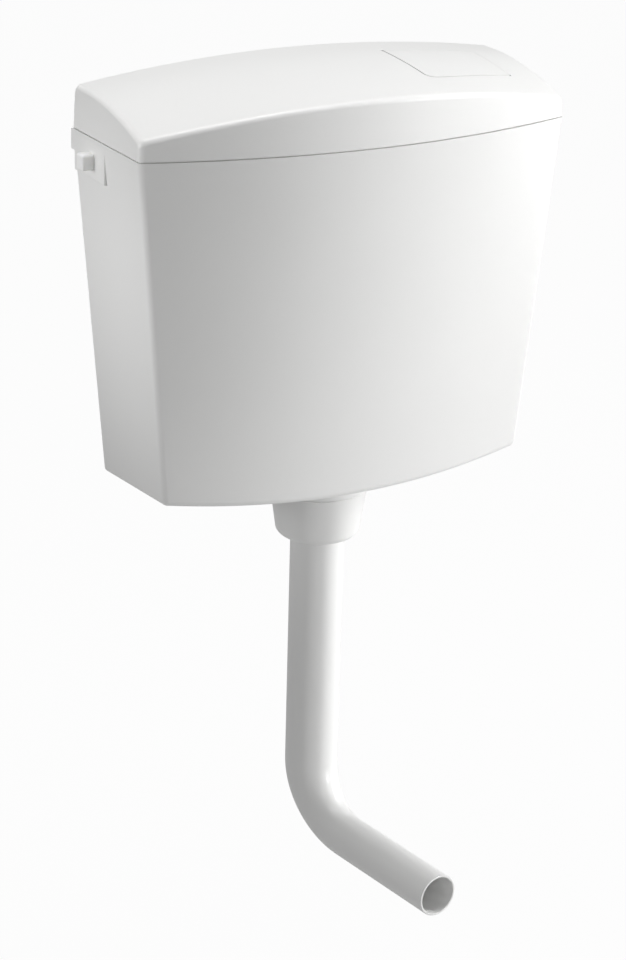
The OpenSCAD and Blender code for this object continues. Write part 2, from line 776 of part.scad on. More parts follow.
// One ring of the bend at angle a, moved on along the pipe by ahead
function bend_ring(r, a, ahead) = let(
    y = -bend_r * (1 - cos(a)) - ahead * sin(a),
    z = collar_z - down_leg + bend_r - bend_r * sin(a) - ahead * cos(a))
  [for (j = [0:BEND_SIDES - 1]) let(t = 360 * j / BEND_SIDES)
    [r * cos(t), y + r * sin(t) * cos(a), z - r * sin(t) * sin(a)]];
module bend(r0, r1) {
  loft(concat(
    [bend_ring(r0 - bend_end_step, 0, -cut)],
    [for (k = [0:BEND_STEPS]) let(t = k / BEND_STEPS)
      bend_ring(mix(r0, r1, t * t * (3 - 2 * t)), 90 * t, 0)],
    [bend_ring(r1 - bend_end_step, 90, cut)]));
}
module pipe_form(inset) {
  r0 = pipe_d / 2 - inset;
  r1 = spigot_d / 2 - inset;
  corner_z = collar_z - down_leg;
  over = inset > 0 ? cut : 0;
  translate([0, 0, corner_z + bend_r]) cylinder(r = r0, h = bead_z + bead_t - corner_z - bend_r + over);
  bend(r0 - bend_step, r1 - bend_step);
  translate([0, -bend_r, corner_z]) rotate([90, 0, 0]) cylinder(r = r1, h = lower_leg - bend_r + over);
}
module flush_pipe() color("white") translate([0, outlet_y, 0]) rotate([0, 0, leg_turn]) difference() {
  union() {
    pipe_form(0);
    translate([0, 0, bead_z]) cylinder(d = bead_d, h = bead_t);
  }
  pipe_form(pipe_wall);
}

// Blanking plug of the left inlet, with a square head
module left_inlet_plug() color("whitesmoke") {
  half = plug_head_w / 2;
  box(-pad_x - plug_head_l, -pad_x, inlet_y - half, inlet_y + half, inlet_z - half, inlet_z + half);
  x_rod(plug_d, -pad_x - eps, -pad_in_x + washer_t + nut_t + plug_past, inlet_y, inlet_z);
}
module left_plug_washer() color("dimgray")
  x_washer(plug_washer_d, plug_d + 2 * slip_fit, -pad_in_x, -pad_in_x + washer_t);
module left_plug_nut() color("gainsboro")
  x_nut(plug_nut_w, plug_d + 2 * slip_fit, -pad_in_x + washer_t, -pad_in_x + washer_t + nut_t);

// Side-entry fill valve
module valve_outside() {
  flange_x = pad_in_x - washer_t;
  root_x = flange_x - inlet_flange_t;
  shank_x = pad_x + nut_t - undercut_in;
  x_rod(shank_d, root_x, shank_x, inlet_y, inlet_z);
  x_rod(undercut_d, root_x, pad_x + tail_out, inlet_y, inlet_z);
  x_rod(tail_d, shank_x + undercut_w, pad_x + tail_out, inlet_y, inlet_z);
  x_rod(inlet_flange_d, root_x, flange_x, inlet_y, inlet_z);
  x_rod(inlet_body_d, valve_x, root_x + eps, inlet_y, inlet_z);
  translate([valve_x, inlet_y, head_low_z]) cylinder(d = head_d, h = head_top_z - head_low_z);
  y_rod(spout_d, valve_x, tube_y, inlet_y - spout_root, spout_z);
  translate([valve_x, tube_y, socket_low_z]) cylinder(d = socket_d, h = socket_h);
}
module fill_valve_body() color("whitesmoke") difference() {
  valve_outside();
  x_rod(bore_d, valve_x, strainer_x + cut, inlet_y, inlet_z);
  x_rod(strainer_d, strainer_x, pad_x + tail_out + cut, inlet_y, inlet_z);
  translate([valve_x, inlet_y, nozzle_z - cut]) cylinder(d = nozzle_hole_d, h = inlet_z - nozzle_z + cut);
  translate([valve_x, inlet_y, head_low_z - cut]) cylinder(d = chamber_d, h = nozzle_z - head_low_z + cut);
  translate([valve_x, inlet_y, nozzle_z - eps]) difference() {
    cylinder(d = chamber_d, h = chamber_top_z - nozzle_z);
    translate([0, 0, -cut]) cylinder(d = nozzle_d, h = chamber_top_z - nozzle_z + 2 * cut);
  }
  y_rod(bore_d, valve_x, tube_y, inlet_y - spout_bore_root, spout_z);
  translate([valve_x, tube_y, socket_low_z - cut]) cylinder(d = passage_d, h = socket_h - socket_roof);
  translate([valve_x, tube_y, socket_low_z - cut]) cylinder(d = drop_d + 2 * slip_fit, h = socket_deep + cut);
}
module fill_valve_washer() color("dimgray")
  x_washer(inlet_flange_d, shank_d + 2 * slip_fit, pad_in_x - washer_t, pad_in_x);
module fill_valve_nut() color("gainsboro")
  x_nut(inlet_nut_w, shank_d + 2 * slip_fit, pad_x, pad_x + nut_t);
module inlet_strainer() color("lightgray") {
  basket_d = strainer_d - 2 * slip_fit;
  back_x = strainer_x + strainer_back;
  x_washer(basket_d, strainer_in_d, back_x + strainer_plate, back_x + strainer_len);
  x_rod(basket_d, back_x, back_x + strainer_plate + eps, inlet_y, inlet_z);
}
module fill_valve_cap() color("gainsboro") difference() {
  ear_in = arm_w / 2 + body_gap;
  union() {
    translate([valve_x, inlet_y, cap_low_z]) cylinder(d = cap_d, h = cap_h);
    translate([valve_x, inlet_y, head_low_z - eps]) cylinder(d = chamber_d - 2 * slip_fit, h = cap_plug_h);
    for (y0 = [inlet_y - ear_in - ear_t, inlet_y + ear_in]) {
      box(arm_x - ear_d / 2, arm_x + ear_front, y0, y0 + ear_t, arm_z, cap_low_z + eps);
      y_rod(ear_d, arm_x, y0, y0 + ear_t, arm_z);
    }
  }
  translate([valve_x, inlet_y, cap_low_z - cut])
    cylinder(d = guide_d + 2 * running_fit, h = cap_h + 2 * cap_plug_h);
  arm_bore();
}
module arm_bore() {
  y_rod(arm_pin_d + 2 * running_fit, arm_x, inlet_y - bore_past, inlet_y + bore_past, arm_z);
}
module valve_piston() color("whitesmoke") translate([valve_x, inlet_y, 0]) {
  translate([0, 0, rod_low_z]) cylinder(d = guide_d, h = piston_washer_z - rod_low_z);
  translate([0, 0, piston_washer_z - piston_t]) cylinder(d = piston_d, h = piston_t);
  translate([0, 0, piston_washer_z - eps]) difference() {
    cylinder(d = piston_d, h = piston_rim_h);
    translate([0, 0, -cut]) cylinder(d = piston_d - 2 * piston_rim_t, h = piston_rim_h + 2 * cut);
  }
}
module piston_washer() color("dimgray") translate([valve_x, inlet_y, piston_washer_z])
  cylinder(d = piston_d - 2 * piston_rim_t - 2 * slip_fit, h = piston_washer_t);
module float_arm() color("gainsboro") difference() {
  union() {
    y_rod(arm_hub_d, arm_x, inlet_y - arm_w / 2, inlet_y + arm_w / 2, arm_z);
    box(float_x, arm_x, inlet_y - arm_w / 2, inlet_y + arm_w / 2, arm_z - arm_h / 2, nose_z);
    y_rod(2 * nose_r, valve_x, inlet_y - arm_w / 2, inlet_y + arm_w / 2, nose_z);
    translate([float_x, inlet_y, arm_z - arm_h / 2]) cylinder(d = arm_eye_d, h = arm_h);
  }
  arm_bore();
  translate([float_x, inlet_y, arm_z - arm_h]) cylinder(d = screw_rod_d + 2 * slip_fit, h = 2 * arm_h);
}
module float_arm_pin() color("silver")
  headed_pin(arm_pin_d, arm_x, inlet_y, arm_w / 2 + body_gap + ear_t, arm_z, 1.2, 2);
module float_screw() color("silver") translate([float_x, inlet_y, 0]) {
  low_z = float_top_z - screw_in;
  translate([0, 0, low_z]) cylinder(d = screw_rod_d, h = arm_z + screw_up - low_z);
  translate([0, 0, arm_z + screw_up - cut]) cylinder(d = screw_head_d, h = screw_head_t);
}
module fill_float() color("white") translate([float_x, inlet_y, float_top_z]) difference() {
  translate([0, 0, -float_h]) hull()
    for (x = [-1, 1], y = [-1, 1])
      translate([x * (float_w / 2 - float_r), y * (float_d / 2 - float_r), 0])
        cylinder(r = float_r, h = float_h, $fn = 32);
  translate([0, 0, -screw_in - screw_end_gap])
    cylinder(d = screw_rod_d + 2 * slip_fit, h = screw_in + 2 * cut);
}
module drop_tube() color("whitesmoke") translate([valve_x, tube_y, 0]) difference() {
  top_z = socket_low_z + socket_deep - drop_end_gap;
  low_z = rim_z - tank_h + drop_clear;
  translate([0, 0, low_z]) cylinder(d = drop_d, h = top_z - low_z);
  translate([0, 0, low_z - cut]) cylinder(d = drop_d - 2 * drop_wall, h = top_z - low_z + 2 * cut);
}

tank();
lid();
flush_button();
button_hinge_pin();
button_pusher();
lever_bridge();
lever_pin();
flush_lever();
lift_collar();
overflow_tube();
flush_float();
plunger_seal();
seal_retainer();
valve_cage();
valve_seat();
outlet_gasket();
tank_locknut();
union_collar();
pipe_seal();
flush_pipe();
left_inlet_plug();
left_plug_washer();
left_plug_nut();
fill_valve_body();
fill_valve_washer();
fill_valve_nut();
fill_valve_cap();
valve_piston();
piston_washer();
float_arm();
float_arm_pin();
float_screw();
fill_float();
drop_tube();
inlet_strainer();
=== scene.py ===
# %% [markdown]
# # A wall-hung cistern, dressed for a studio picture
#
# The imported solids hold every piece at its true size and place. This lesson keeps them as the frame,
# rebuilds the visible mouldings as smooth dense meshes, and gives each piece the finish of its real
# material. All lengths are in millimetres until a mesh is made, and a mesh is in metres.

# %% Load the frame
import json
import math

import bmesh
import bpy
from mathutils import Matrix, Vector


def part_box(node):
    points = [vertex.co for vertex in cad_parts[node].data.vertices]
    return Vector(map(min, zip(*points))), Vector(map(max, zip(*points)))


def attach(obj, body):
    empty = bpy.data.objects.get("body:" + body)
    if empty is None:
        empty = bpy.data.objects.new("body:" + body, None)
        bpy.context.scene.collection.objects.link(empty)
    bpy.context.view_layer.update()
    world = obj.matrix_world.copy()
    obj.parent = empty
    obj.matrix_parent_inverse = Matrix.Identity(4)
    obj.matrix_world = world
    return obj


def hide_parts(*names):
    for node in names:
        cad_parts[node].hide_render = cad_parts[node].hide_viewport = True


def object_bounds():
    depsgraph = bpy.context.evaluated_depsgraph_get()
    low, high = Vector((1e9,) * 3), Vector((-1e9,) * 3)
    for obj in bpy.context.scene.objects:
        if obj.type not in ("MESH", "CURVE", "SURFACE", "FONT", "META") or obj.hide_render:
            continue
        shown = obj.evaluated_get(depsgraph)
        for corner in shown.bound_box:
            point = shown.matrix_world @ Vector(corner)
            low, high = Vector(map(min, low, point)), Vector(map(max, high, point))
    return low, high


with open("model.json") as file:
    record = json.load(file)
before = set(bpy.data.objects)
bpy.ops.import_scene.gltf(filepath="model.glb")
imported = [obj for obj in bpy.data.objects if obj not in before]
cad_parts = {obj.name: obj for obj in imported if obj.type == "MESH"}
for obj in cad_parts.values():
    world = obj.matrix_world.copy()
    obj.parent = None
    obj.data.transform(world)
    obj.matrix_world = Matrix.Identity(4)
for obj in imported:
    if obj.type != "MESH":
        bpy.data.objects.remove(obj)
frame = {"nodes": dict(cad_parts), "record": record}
cad_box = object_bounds()
MM = 0.001
body_of_node = {}
for body_name, node_names in frame["record"]["behaviour"]["bodies"].items():
    for node_name in node_names:
        body_of_node[node_name] = body_name
slot_of_node = {entry["node"]: entry["material_slot"] for entry in frame["record"]["subparts"]}
print("CAD box", [tuple(round(c, 4) for c in corner) for corner in cad_box])

# %% [markdown]
# ## The camera
#
# A camera is matched to a photograph by solving for its place, its turn and its focal length together. The
# solved angles are written here as named values, and the lens follows from the focal length in pixels of
# the picture.

# %% Camera at the photograph's angle
PHOTO_H = 960
SENSOR_MM = 36.0
FOCAL_PX = 2727.8
CAMERA_AZIMUTH = math.radians(-29.3)
CAMERA_ELEVATION = math.radians(21.2)
CAMERA_ROLL = math.radians(1.5)
CAMERA_DISTANCE = 2472.1
CAMERA_TARGET = Vector((-23.6, -114.1, -309.7))


def place_object(name, data):
    """A new object that is linked into the scene."""
    obj = bpy.data.objects.new(name, data)
    bpy.context.collection.objects.link(obj)
    return obj


def make_camera():
    back = Vector((
        math.sin(CAMERA_AZIMUTH) * math.cos(CAMERA_ELEVATION),
        -math.cos(CAMERA_AZIMUTH) * math.cos(CAMERA_ELEVATION),
        math.sin(CAMERA_ELEVATION),
    ))
    right = (-back).cross(Vector((0, 0, 1))).normalized()
    up = right.cross(-back)
    side = right * math.cos(CAMERA_ROLL) + up * math.sin(CAMERA_ROLL)
    top = up * math.cos(CAMERA_ROLL) - right * math.sin(CAMERA_ROLL)
    place = (CAMERA_TARGET + back * CAMERA_DISTANCE) * MM
    data = bpy.data.cameras.new("studio_camera")
    data.sensor_width = SENSOR_MM
    data.lens = FOCAL_PX * SENSOR_MM / PHOTO_H
    camera = place_object("studio_camera", data)
    turn = Matrix((side, top, back)).transposed().to_4x4()
    camera.matrix_world = Matrix.Translation(place) @ turn
    bpy.context.scene.camera = camera
    return camera


camera = make_camera()
print("lens", round(camera.data.lens, 2), "mm")

# %% [markdown]
# ## Mesh helpers
#
# The mouldings are lofts: one closed outline is worked out for each station across the width, and
# neighbouring outlines are joined by quads. Openings are then carved with booleans, as a drill or a cutter
# would do it.

# %% Lofts and cutters
# How far a cutter runs past the face that it leaves through
PAST = 1.0
# How far a welded piece runs into what carries it
LAP = 1.0


def mix(a, b, t):
    return a + (b - a) * t


def in_mm(box):
    """The two corners of a box in metres, in millimetres."""
    return [corner / MM for corner in box]


def mesh_object(name, bm):
    """A new object in metres from a mesh in millimetres, with its faces turned outwards."""
    bmesh.ops.recalc_face_normals(bm, faces=bm.faces)
    bmesh.ops.scale(bm, vec=(MM, MM, MM), verts=bm.verts)
    mesh = bpy.data.meshes.new(name)
    bm.to_mesh(mesh)
    bm.free()
    return place_object(name, mesh)


def loft(name, slices):
    """Closed outlines with the same count of points, joined by quads and capped at both ends."""
    bm = bmesh.new()
    rings = [[bm.verts.new(point) for point in ring] for ring in slices]
    for ring, after in zip(rings, rings[1:]):
        for j, vert in enumerate(ring):
            k = (j + 1) % len(ring)
            bm.faces.new((vert, ring[k], after[k], after[j]))
    bm.faces.new(rings[0])
    bm.faces.new(rings[-1])
    return mesh_object(name, bm)


def bake(obj):
    """Turns what the modifiers make into the object's own mesh."""
    graph = bpy.context.evaluated_depsgraph_get()
    mesh = bpy.data.meshes.new_from_object(obj.evaluated_get(graph))
    obj.modifiers.clear()
    obj.data = mesh
    return obj


def carve(obj, tool, operation="DIFFERENCE"):
    """Cuts, joins or intersects an object with a tool, which is then removed."""
    modifier = obj.modifiers.new("carve", "BOOLEAN")
    modifier.operation = operation
    modifier.solver = "EXACT"
    modifier.object = tool
    bake(obj)
    bpy.data.objects.remove(tool)
    return obj


def weld(obj, tool):
    return carve(obj, tool, "UNION")


# %% Boxes and turned shapes
# Points of a turned shape that lie closer than this, in millimetres, are one point
MERGE_MM = 1e-4


def rounded_box(name, low, high, radius, segments=3):
    """A box between two corners, with all its edges rounded where radius isn't 0."""
    bm = bmesh.new()
    bmesh.ops.create_cube(bm, size=1)
    size = Vector(high) - Vector(low)
    centre = (Vector(high) + Vector(low)) / 2
    for vert in bm.verts:
        vert.co = Vector([vert.co[i] * size[i] + centre[i] for i in range(3)])
    if radius:
        bmesh.ops.bevel(bm, geom=bm.edges[:], offset=radius, segments=segments, affect="EDGES",
                        profile=0.5)
    return mesh_object(name, bm)


def arc(cx, cy, radius, start, end, steps=6):
    """Points of an arc about (cx, cy), with angles in degrees."""
    if not radius:
        return [(cx, cy)]
    angles = [math.radians(mix(start, end, k / steps)) for k in range(steps + 1)]
    return [(cx + radius * math.cos(a), cy + radius * math.sin(a)) for a in angles]


def turned(name, profile, origin, axis="Z", steps=96):
    """A closed outline of (radius, height) points, turned about an axis through origin."""
    bm = bmesh.new()
    rings = []
    for i in range(steps):
        angle = 2 * math.pi * i / steps
        rings.append([bm.verts.new((r * math.cos(angle), r * math.sin(angle), h)) for r, h in profile])
    for i, ring in enumerate(rings):
        after = rings[(i + 1) % steps]
        for j in range(len(profile)):
            k = (j + 1) % len(profile)
            bm.faces.new((ring[j], ring[k], after[k], after[j]))
    bmesh.ops.remove_doubles(bm, verts=bm.verts, dist=MERGE_MM)
    bmesh.ops.dissolve_degenerate(bm, edges=bm.edges, dist=MERGE_MM)
    turn = {"Z": Matrix.Identity(4), "X": Matrix.Rotation(math.pi / 2, 4, "Y"),
            "Y": Matrix.Rotation(-math.pi / 2, 4, "X")}[axis]
    bmesh.ops.transform(bm, matrix=Matrix.Translation(origin) @ turn, verts=bm.verts)
    return mesh_object(name, bm)


def rod(name, radius, start, length, axis="Z", edge=0.0):
    """A solid round bar from start along +axis, with edges rounded by edge."""
    return turned(name, [(0, 0), *arc(radius - edge, edge, edge, -90, 0),
                         *arc(radius - edge, length - edge, edge, 0, 90), (0, length)], start, axis)


# %% Smooth shading


def skin(obj, angle=34):
    """Smooth shading with sharp edges where faces meet at a clear angle, and flats that stay flat."""
    obj.data.polygons.foreach_set("use_smooth", [True] * len(obj.data.polygons))
    obj.data.set_sharp_from_angle(angle=math.radians(angle))
    modifier = obj.modifiers.new("flats", "WEIGHTED_NORMAL")
    modifier.keep_sharp = True
    return bake(obj)


# %% [markdown]
# ## Materials
#
# The outside is injection-moulded ABS, a hard glossy plastic. The tool steel that it was moulded in leaves
# a very fine waviness, so highlights are soft at their edges. Inside there are acetal and polypropylene,
# which are waxier, black EPDM rubber, closed-cell foam and stainless steel. Each colour is an sRGB value.

# %% Colour and node helpers


def srgb(code):
    """An sRGB hex colour as linear red, green, blue and alpha."""
    parts = [int(code[i:i + 2], 16) / 255 for i in (1, 3, 5)]
    return [c / 12.92 if c <= 0.04045 else ((c + 0.055) / 1.055) ** 2.4 for c in parts] + [1.0]


def put(tree, kind, values=None, links=None, **settings):
    """Adds one node with its settings, its socket values and its links."""
    node = tree.nodes.new(kind)
    for key, value in settings.items():
        setattr(node, key, value)
    for socket, value in (values or {}).items():
        node.inputs[socket].default_value = value
    for socket, source in (links or {}).items():
        tree.links.new(source, node.inputs[socket])
    return node


def blank_material(name):
    """A new material and its node tree, with nothing in the tree yet."""
    material = bpy.data.materials.new(name)
    material.use_nodes = True
    material.node_tree.nodes.clear()
    return material, material.node_tree


def per_metre(period_mm):
    """Scale of a pattern on Object coordinates, from its spacing in millimetres."""
    return 1 / (period_mm * MM)


def moulded_plastic(name, colour, shade, rough, rough_swing, ior, wave_mm, wave_depth_mm, mottle_mm=90):
    """A moulded plastic: slow drift between two close colours, fine waviness, uneven gloss."""
    material, tree = blank_material(name)
    place = put(tree, "ShaderNodeTexCoord")
    mottle = put(tree, "ShaderNodeTexNoise",
                 {"Scale": per_metre(mottle_mm), "Detail": 1.0, "Roughness": 0.4},
                 {"Vector": place.outputs["Object"]})
    tint = put(tree, "ShaderNodeMix", {"A": srgb(colour), "B": srgb(shade)},
               {"Factor": mottle.outputs["Fac"]}, data_type="RGBA")
    gloss = put(tree, "ShaderNodeMapRange",
                {"To Min": rough - rough_swing, "To Max": rough + rough_swing},
                {"Value": mottle.outputs["Fac"]})
    wave = put(tree, "ShaderNodeTexNoise", {"Scale": per_metre(wave_mm), "Detail": 1.5, "Roughness": 0.4},
               {"Vector": place.outputs["Object"]})
    relief = put(tree, "ShaderNodeBump", {"Strength": 1.0, "Distance": wave_depth_mm * MM},
                 {"Height": wave.outputs["Fac"]})
    shader = put(tree, "ShaderNodeBsdfPrincipled", {"IOR": ior},
                 {"Base Color": tint.outputs["Result"], "Roughness": gloss.outputs["Result"],
                  "Normal": relief.outputs["Normal"]})
    put(tree, "ShaderNodeOutputMaterial", links={"Surface": shader.outputs["BSDF"]})
    return material


# %% Plastics that show outside


def abs_white():
    # Glossy ABS: neutral white, soft-edged highlights, waviness of a polished mould
    return moulded_plastic("abs_gloss_white", "#F0F0EF", "#EDEDEC", rough=0.31, rough_swing=0.03,
                           ior=1.53, wave_mm=14, wave_depth_mm=0.012)


def pvc_white():
    # Extruded and bent PVC pipe: as white as the tank, drawn a little smoother
    return moulded_plastic("pvc_gloss_white", "#F0F0EF", "#EDEDEC", rough=0.30, rough_swing=0.02,
                           ior=1.54, wave_mm=18, wave_depth_mm=0.012)


def pp_natural():
    # Unpigmented polypropylene: waxy and slightly milky, as light spreads about 1 mm into it
    material = moulded_plastic("pp_natural", "#FAFAF8", "#F6F6F3", rough=0.33, rough_swing=0.04,
                               ior=1.49, wave_mm=6, wave_depth_mm=0.015, mottle_mm=30)
    spread_mm = (1.0, 1.0, 0.9)
    shader = material.node_tree.nodes["Principled BSDF"]
    shader.inputs["Subsurface Weight"].default_value = 0.6
    shader.inputs["Subsurface Scale"].default_value = 1.0
    shader.inputs["Subsurface Radius"].default_value = [length * MM for length in spread_mm]
    return material


# %% Plastics of the works inside


def pom_white():
    # Acetal valve parts: dense white with a low sheen
    return moulded_plastic("acetal_white", "#E9E9E5", "#E2E2DD", rough=0.38, rough_swing=0.05,
                           ior=1.48, wave_mm=5, wave_depth_mm=0.012, mottle_mm=35)


def pp_blue():
    # Tinted polypropylene of the valve cage: a clear blue with a waxy sheen
    return moulded_plastic("pp_blue", "#5E86B4", "#567DAA", rough=0.4, rough_swing=0.05,
                           ior=1.49, wave_mm=5, wave_depth_mm=0.015, mottle_mm=35)


def pp_grey():
    # Grey polypropylene of the strainer: a cool mid grey, a little duller than the cage
    return moulded_plastic("pp_grey", "#9EA3A8", "#949A9F", rough=0.42, rough_swing=0.05,
                           ior=1.49, wave_mm=5, wave_depth_mm=0.015, mottle_mm=25)


# %% Foam, rubber and steel


def foam_white():
    # Closed-cell bead foam: pressed beads of about 3 mm with shallow joints between them
    bead_mm = 3.2
    joint_depth_mm = 0.25
    material, tree = blank_material("bead_foam_white")
    place = put(tree, "ShaderNodeTexCoord")
    beads = put(tree, "ShaderNodeTexVoronoi", {"Scale": per_metre(bead_mm)},
                {"Vector": place.outputs["Object"]})
    joint = put(tree, "ShaderNodeMapRange", {"From Min": 0.2, "From Max": 0.75},
                {"Value": beads.outputs["Distance"]})
    tint = put(tree, "ShaderNodeMix", {"A": srgb("#F3F3F1"), "B": srgb("#E2E2DE")},
               {"Factor": joint.outputs["Result"]}, data_type="RGBA")
    relief = put(tree, "ShaderNodeBump", {"Strength": 1.0, "Distance": joint_depth_mm * MM},
                 {"Height": beads.outputs["Distance"]}, invert=True)
    shader = put(tree, "ShaderNodeBsdfPrincipled", {"IOR": 1.4, "Roughness": 0.7},
                 {"Base Color": tint.outputs["Result"], "Normal": relief.outputs["Normal"]})
    put(tree, "ShaderNodeOutputMaterial", links={"Surface": shader.outputs["BSDF"]})
    return material


def rubber_black():
    # EPDM rubber: nearly black, matt, with a faint bloom
    return moulded_plastic("epdm_rubber", "#242526", "#2E2F30", rough=0.62, rough_swing=0.06,
                           ior=1.5, wave_mm=2.5, wave_depth_mm=0.02, mottle_mm=12)


def steel_stainless():
    # Drawn stainless steel pins: a grain, drawn coarser than the real one so that it shows, dulls the shine
    grain_mm = 0.8
    grain_depth_mm = 0.01
    material, tree = blank_material("stainless_steel")
    place = put(tree, "ShaderNodeTexCoord")
    grain = put(tree, "ShaderNodeTexNoise", {"Scale": per_metre(grain_mm), "Detail": 2.0},
                {"Vector": place.outputs["Object"]})
    rough = put(tree, "ShaderNodeMapRange",
                {"From Min": 0.3, "From Max": 0.7, "To Min": 0.28, "To Max": 0.4},
                {"Value": grain.outputs["Fac"]})
    relief = put(tree, "ShaderNodeBump", {"Strength": 0.6, "Distance": grain_depth_mm * MM},
                 {"Height": grain.outputs["Fac"]})
    shader = put(tree, "ShaderNodeBsdfPrincipled", {"Metallic": 1.0, "Base Color": srgb("#C6C7C9")},
                 {"Roughness": rough.outputs["Result"], "Normal": relief.outputs["Normal"]})
    put(tree, "ShaderNodeOutputMaterial", links={"Surface": shader.outputs["BSDF"]})
    return material


# %% One material for each slot
MATERIAL_OF_SLOT = {
    "white_abs": abs_white(),
    "white_pvc": pvc_white(),
    "natural_pp": pp_natural(),
    "white_pom": pom_white(),
    "blue_pp": pp_blue(),
    "grey_pp": pp_grey(),
    "foam": foam_white(),
    "black_rubber": rubber_black(),
    "steel": steel_stainless(),
}
print("materials", len(MATERIAL_OF_SLOT))


def fit(piece, node):
    """Puts a finished piece in the place of its CAD node, with that node's body and finish."""
    piece.data.materials.clear()
    piece.data.materials.append(MATERIAL_OF_SLOT[slot_of_node[node]])
    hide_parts(node)
    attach(piece, body_of_node[node])
    return piece


# %% [markdown]
# ## The tank
#
# The real tank is one deep moulding. Its sides lean in towards the floor, its front is bowed, and the
# floor falls towards the rear and the middle. A stretched box could never give those curves, so it is
# lofted from upright slices: the outside first, then the water space is carved out of it, then the holes
# are drilled.

# %% Sizes of the tank and the slices through it
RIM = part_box("tank")[1].z / MM
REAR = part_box("lid")[1].y / MM
TANK_W = 2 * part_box("tank")[1].x / MM
SIDE_TAPER = 28.0
FLOOR_W = TANK_W - 2 * SIDE_TAPER
SIDE_DEPTH = 132.0
FLOOR_DEPTH = 125.0
FRONT_BOW = 35.0
FLOOR_BOW = 17.0
TANK_H = 312.0
FLOOR_FALL = 10.5
FLOOR_ARCH = 15.0
WALL = 3.0
FLOOR_T = 4.0
CORNER_R = 4.5
FLOOR_EDGE_R = 5.5
LEAST_R = 2.0
END_STEPS = 7
MID_STEPS = 56
EDGE_STEPS = 7
WALL_STEPS = 8


def fall(z):
    """Share of the way from the rim to the floor's front corners."""
    return (RIM - z) / TANK_H


def half_w(z):
    return mix(TANK_W, FLOOR_W, fall(z)) / 2


def front_y(x, z):
    """The bowed front face at one place across the width and one height."""
    bow = mix(FRONT_BOW, FLOOR_BOW, fall(z)) * (1 - (x / half_w(z)) ** 2)
    return REAR - mix(SIDE_DEPTH, FLOOR_DEPTH, fall(z)) - bow


def floor_z(x, y):
    """The floor's underside, lowest at the middle of its rear edge."""
    arch = FLOOR_ARCH * (1 - (2 * x / FLOOR_W) ** 2)
    return RIM - TANK_H - arch - FLOOR_FALL * (y - REAR + FLOOR_DEPTH) / FLOOR_DEPTH


def stations(radius):
    """Places across the width as (side, inset, recess), with both ends rounded by radius."""
    ends = []
    for k in range(END_STEPS + 1):
        angle = math.pi / 2 * k / END_STEPS
        ends.append((radius * (1 - math.cos(angle)), radius * (1 - math.sin(angle))))
    left = [(-1, inset, recess) for inset, recess in ends]
    middle = [(2 * j / MID_STEPS - 1, radius, 0) for j in range(1, MID_STEPS)]
    right = [(1, inset, recess) for inset, recess in reversed(ends)]
    return left + middle + right


def tank_slice(station, off, top):
    """Outline of one upright slice, set in from the outside by off and cut level at top."""
    side, inset, recess = station
    radius = max(LEAST_R, FLOOR_EDGE_R - off)

    def x_at(z):
        return side * (half_w(z) - off - inset)

    def front_at(z):
        return front_y(x_at(z), z) + off + recess

    def floor_at(y):
        lift = FLOOR_T if off else 0
        return floor_z(x_at(RIM - TANK_H), y) + lift + recess

    rear = REAR - off
    y_low = front_at(RIM - TANK_H)
    edge = []
    for k in range(EDGE_STEPS, -1, -1):
        angle = math.pi / 2 * k / EDGE_STEPS
        y = y_low + radius * (1 - math.cos(angle))
        edge.append((y, floor_at(y) + radius * (1 - math.sin(angle))))
    brow = (front_at(top), top)
    rise = [(mix(edge[-1][0], brow[0], k / WALL_STEPS), mix(edge[-1][1], brow[1], k / WALL_STEPS))
            for k in range(1, WALL_STEPS)]
    outline = [(rear, top), (rear, floor_at(rear)), *edge, *rise, brow]
    return [(x_at(z), y, z) for y, z in outline]


def tank_form(name, off, top):
    across = stations(max(LEAST_R, CORNER_R - off))
    return loft(name, [tank_slice(station, off, top) for station in across])


print("slices across the tank", len(stations(CORNER_R)))

# %% Rail, pads, neck and holes of the tank
PAD_STEP = 0.5
PAD_X = TANK_W / 2 - PAD_STEP
PAD_DEPTH = 62.0
PAD_H = 36.0
PAD_T = 6.0
PAD_BACK = 0.3
PAD_EDGE = 0.8
PAD_IN_DEPTH = 44.0
PAD_IN_DROP = 8.0
PAD_IN_EDGE = 0.6
RAIL_H = 19.0
RIM_STEP = 0.05
screw_dims = frame["record"]["mounts"][0]["dims"]
SCREW_SPACING = screw_dims["spacing_x_mm"]
SCREW_R = screw_dims["hole_r_mm"]
plug_low, plug_high = in_mm(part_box("left_plug_washer"))
INLET_Y = (plug_low.y + plug_high.y) / 2
INLET_Z = (plug_low.z + plug_high.z) / 2
INLET_HOLE_R = 8.9
PLUG_HOLE_R = 6.3
collar_low, collar_high = in_mm(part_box("union_collar"))
OUTLET_Y = (collar_low.y + collar_high.y) / 2
COLLAR_TOP_GAP = 0.4
NECK_Z = collar_high.z + COLLAR_TOP_GAP
NECK_R = 46.0
NECK_WALL = 4.0
NECK_LEN = 20.0
NECK_EDGE = 1.0
NECK_BORE_LEN = 40.0
SEAT_HOLE_R = 31.0
SEAT_HOLE_LEN = 30.0
SPACER_R = 13.0
SPACER_UP = 50.0
SPACER_Z = RIM - TANK_H + SPACER_UP
SPACER_EDGE = 1.2
bridge_low, bridge_high = in_mm(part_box("lever_bridge"))
BRIDGE_X = (bridge_low.x + bridge_high.x) / 2
BEAM_H = 8.0
POCKET_REACH = 9.0
POCKET_RIB = 2.5
POCKET_GAP = 0.3
SHELF_T = 6.0
RIB_LAP = 0.1


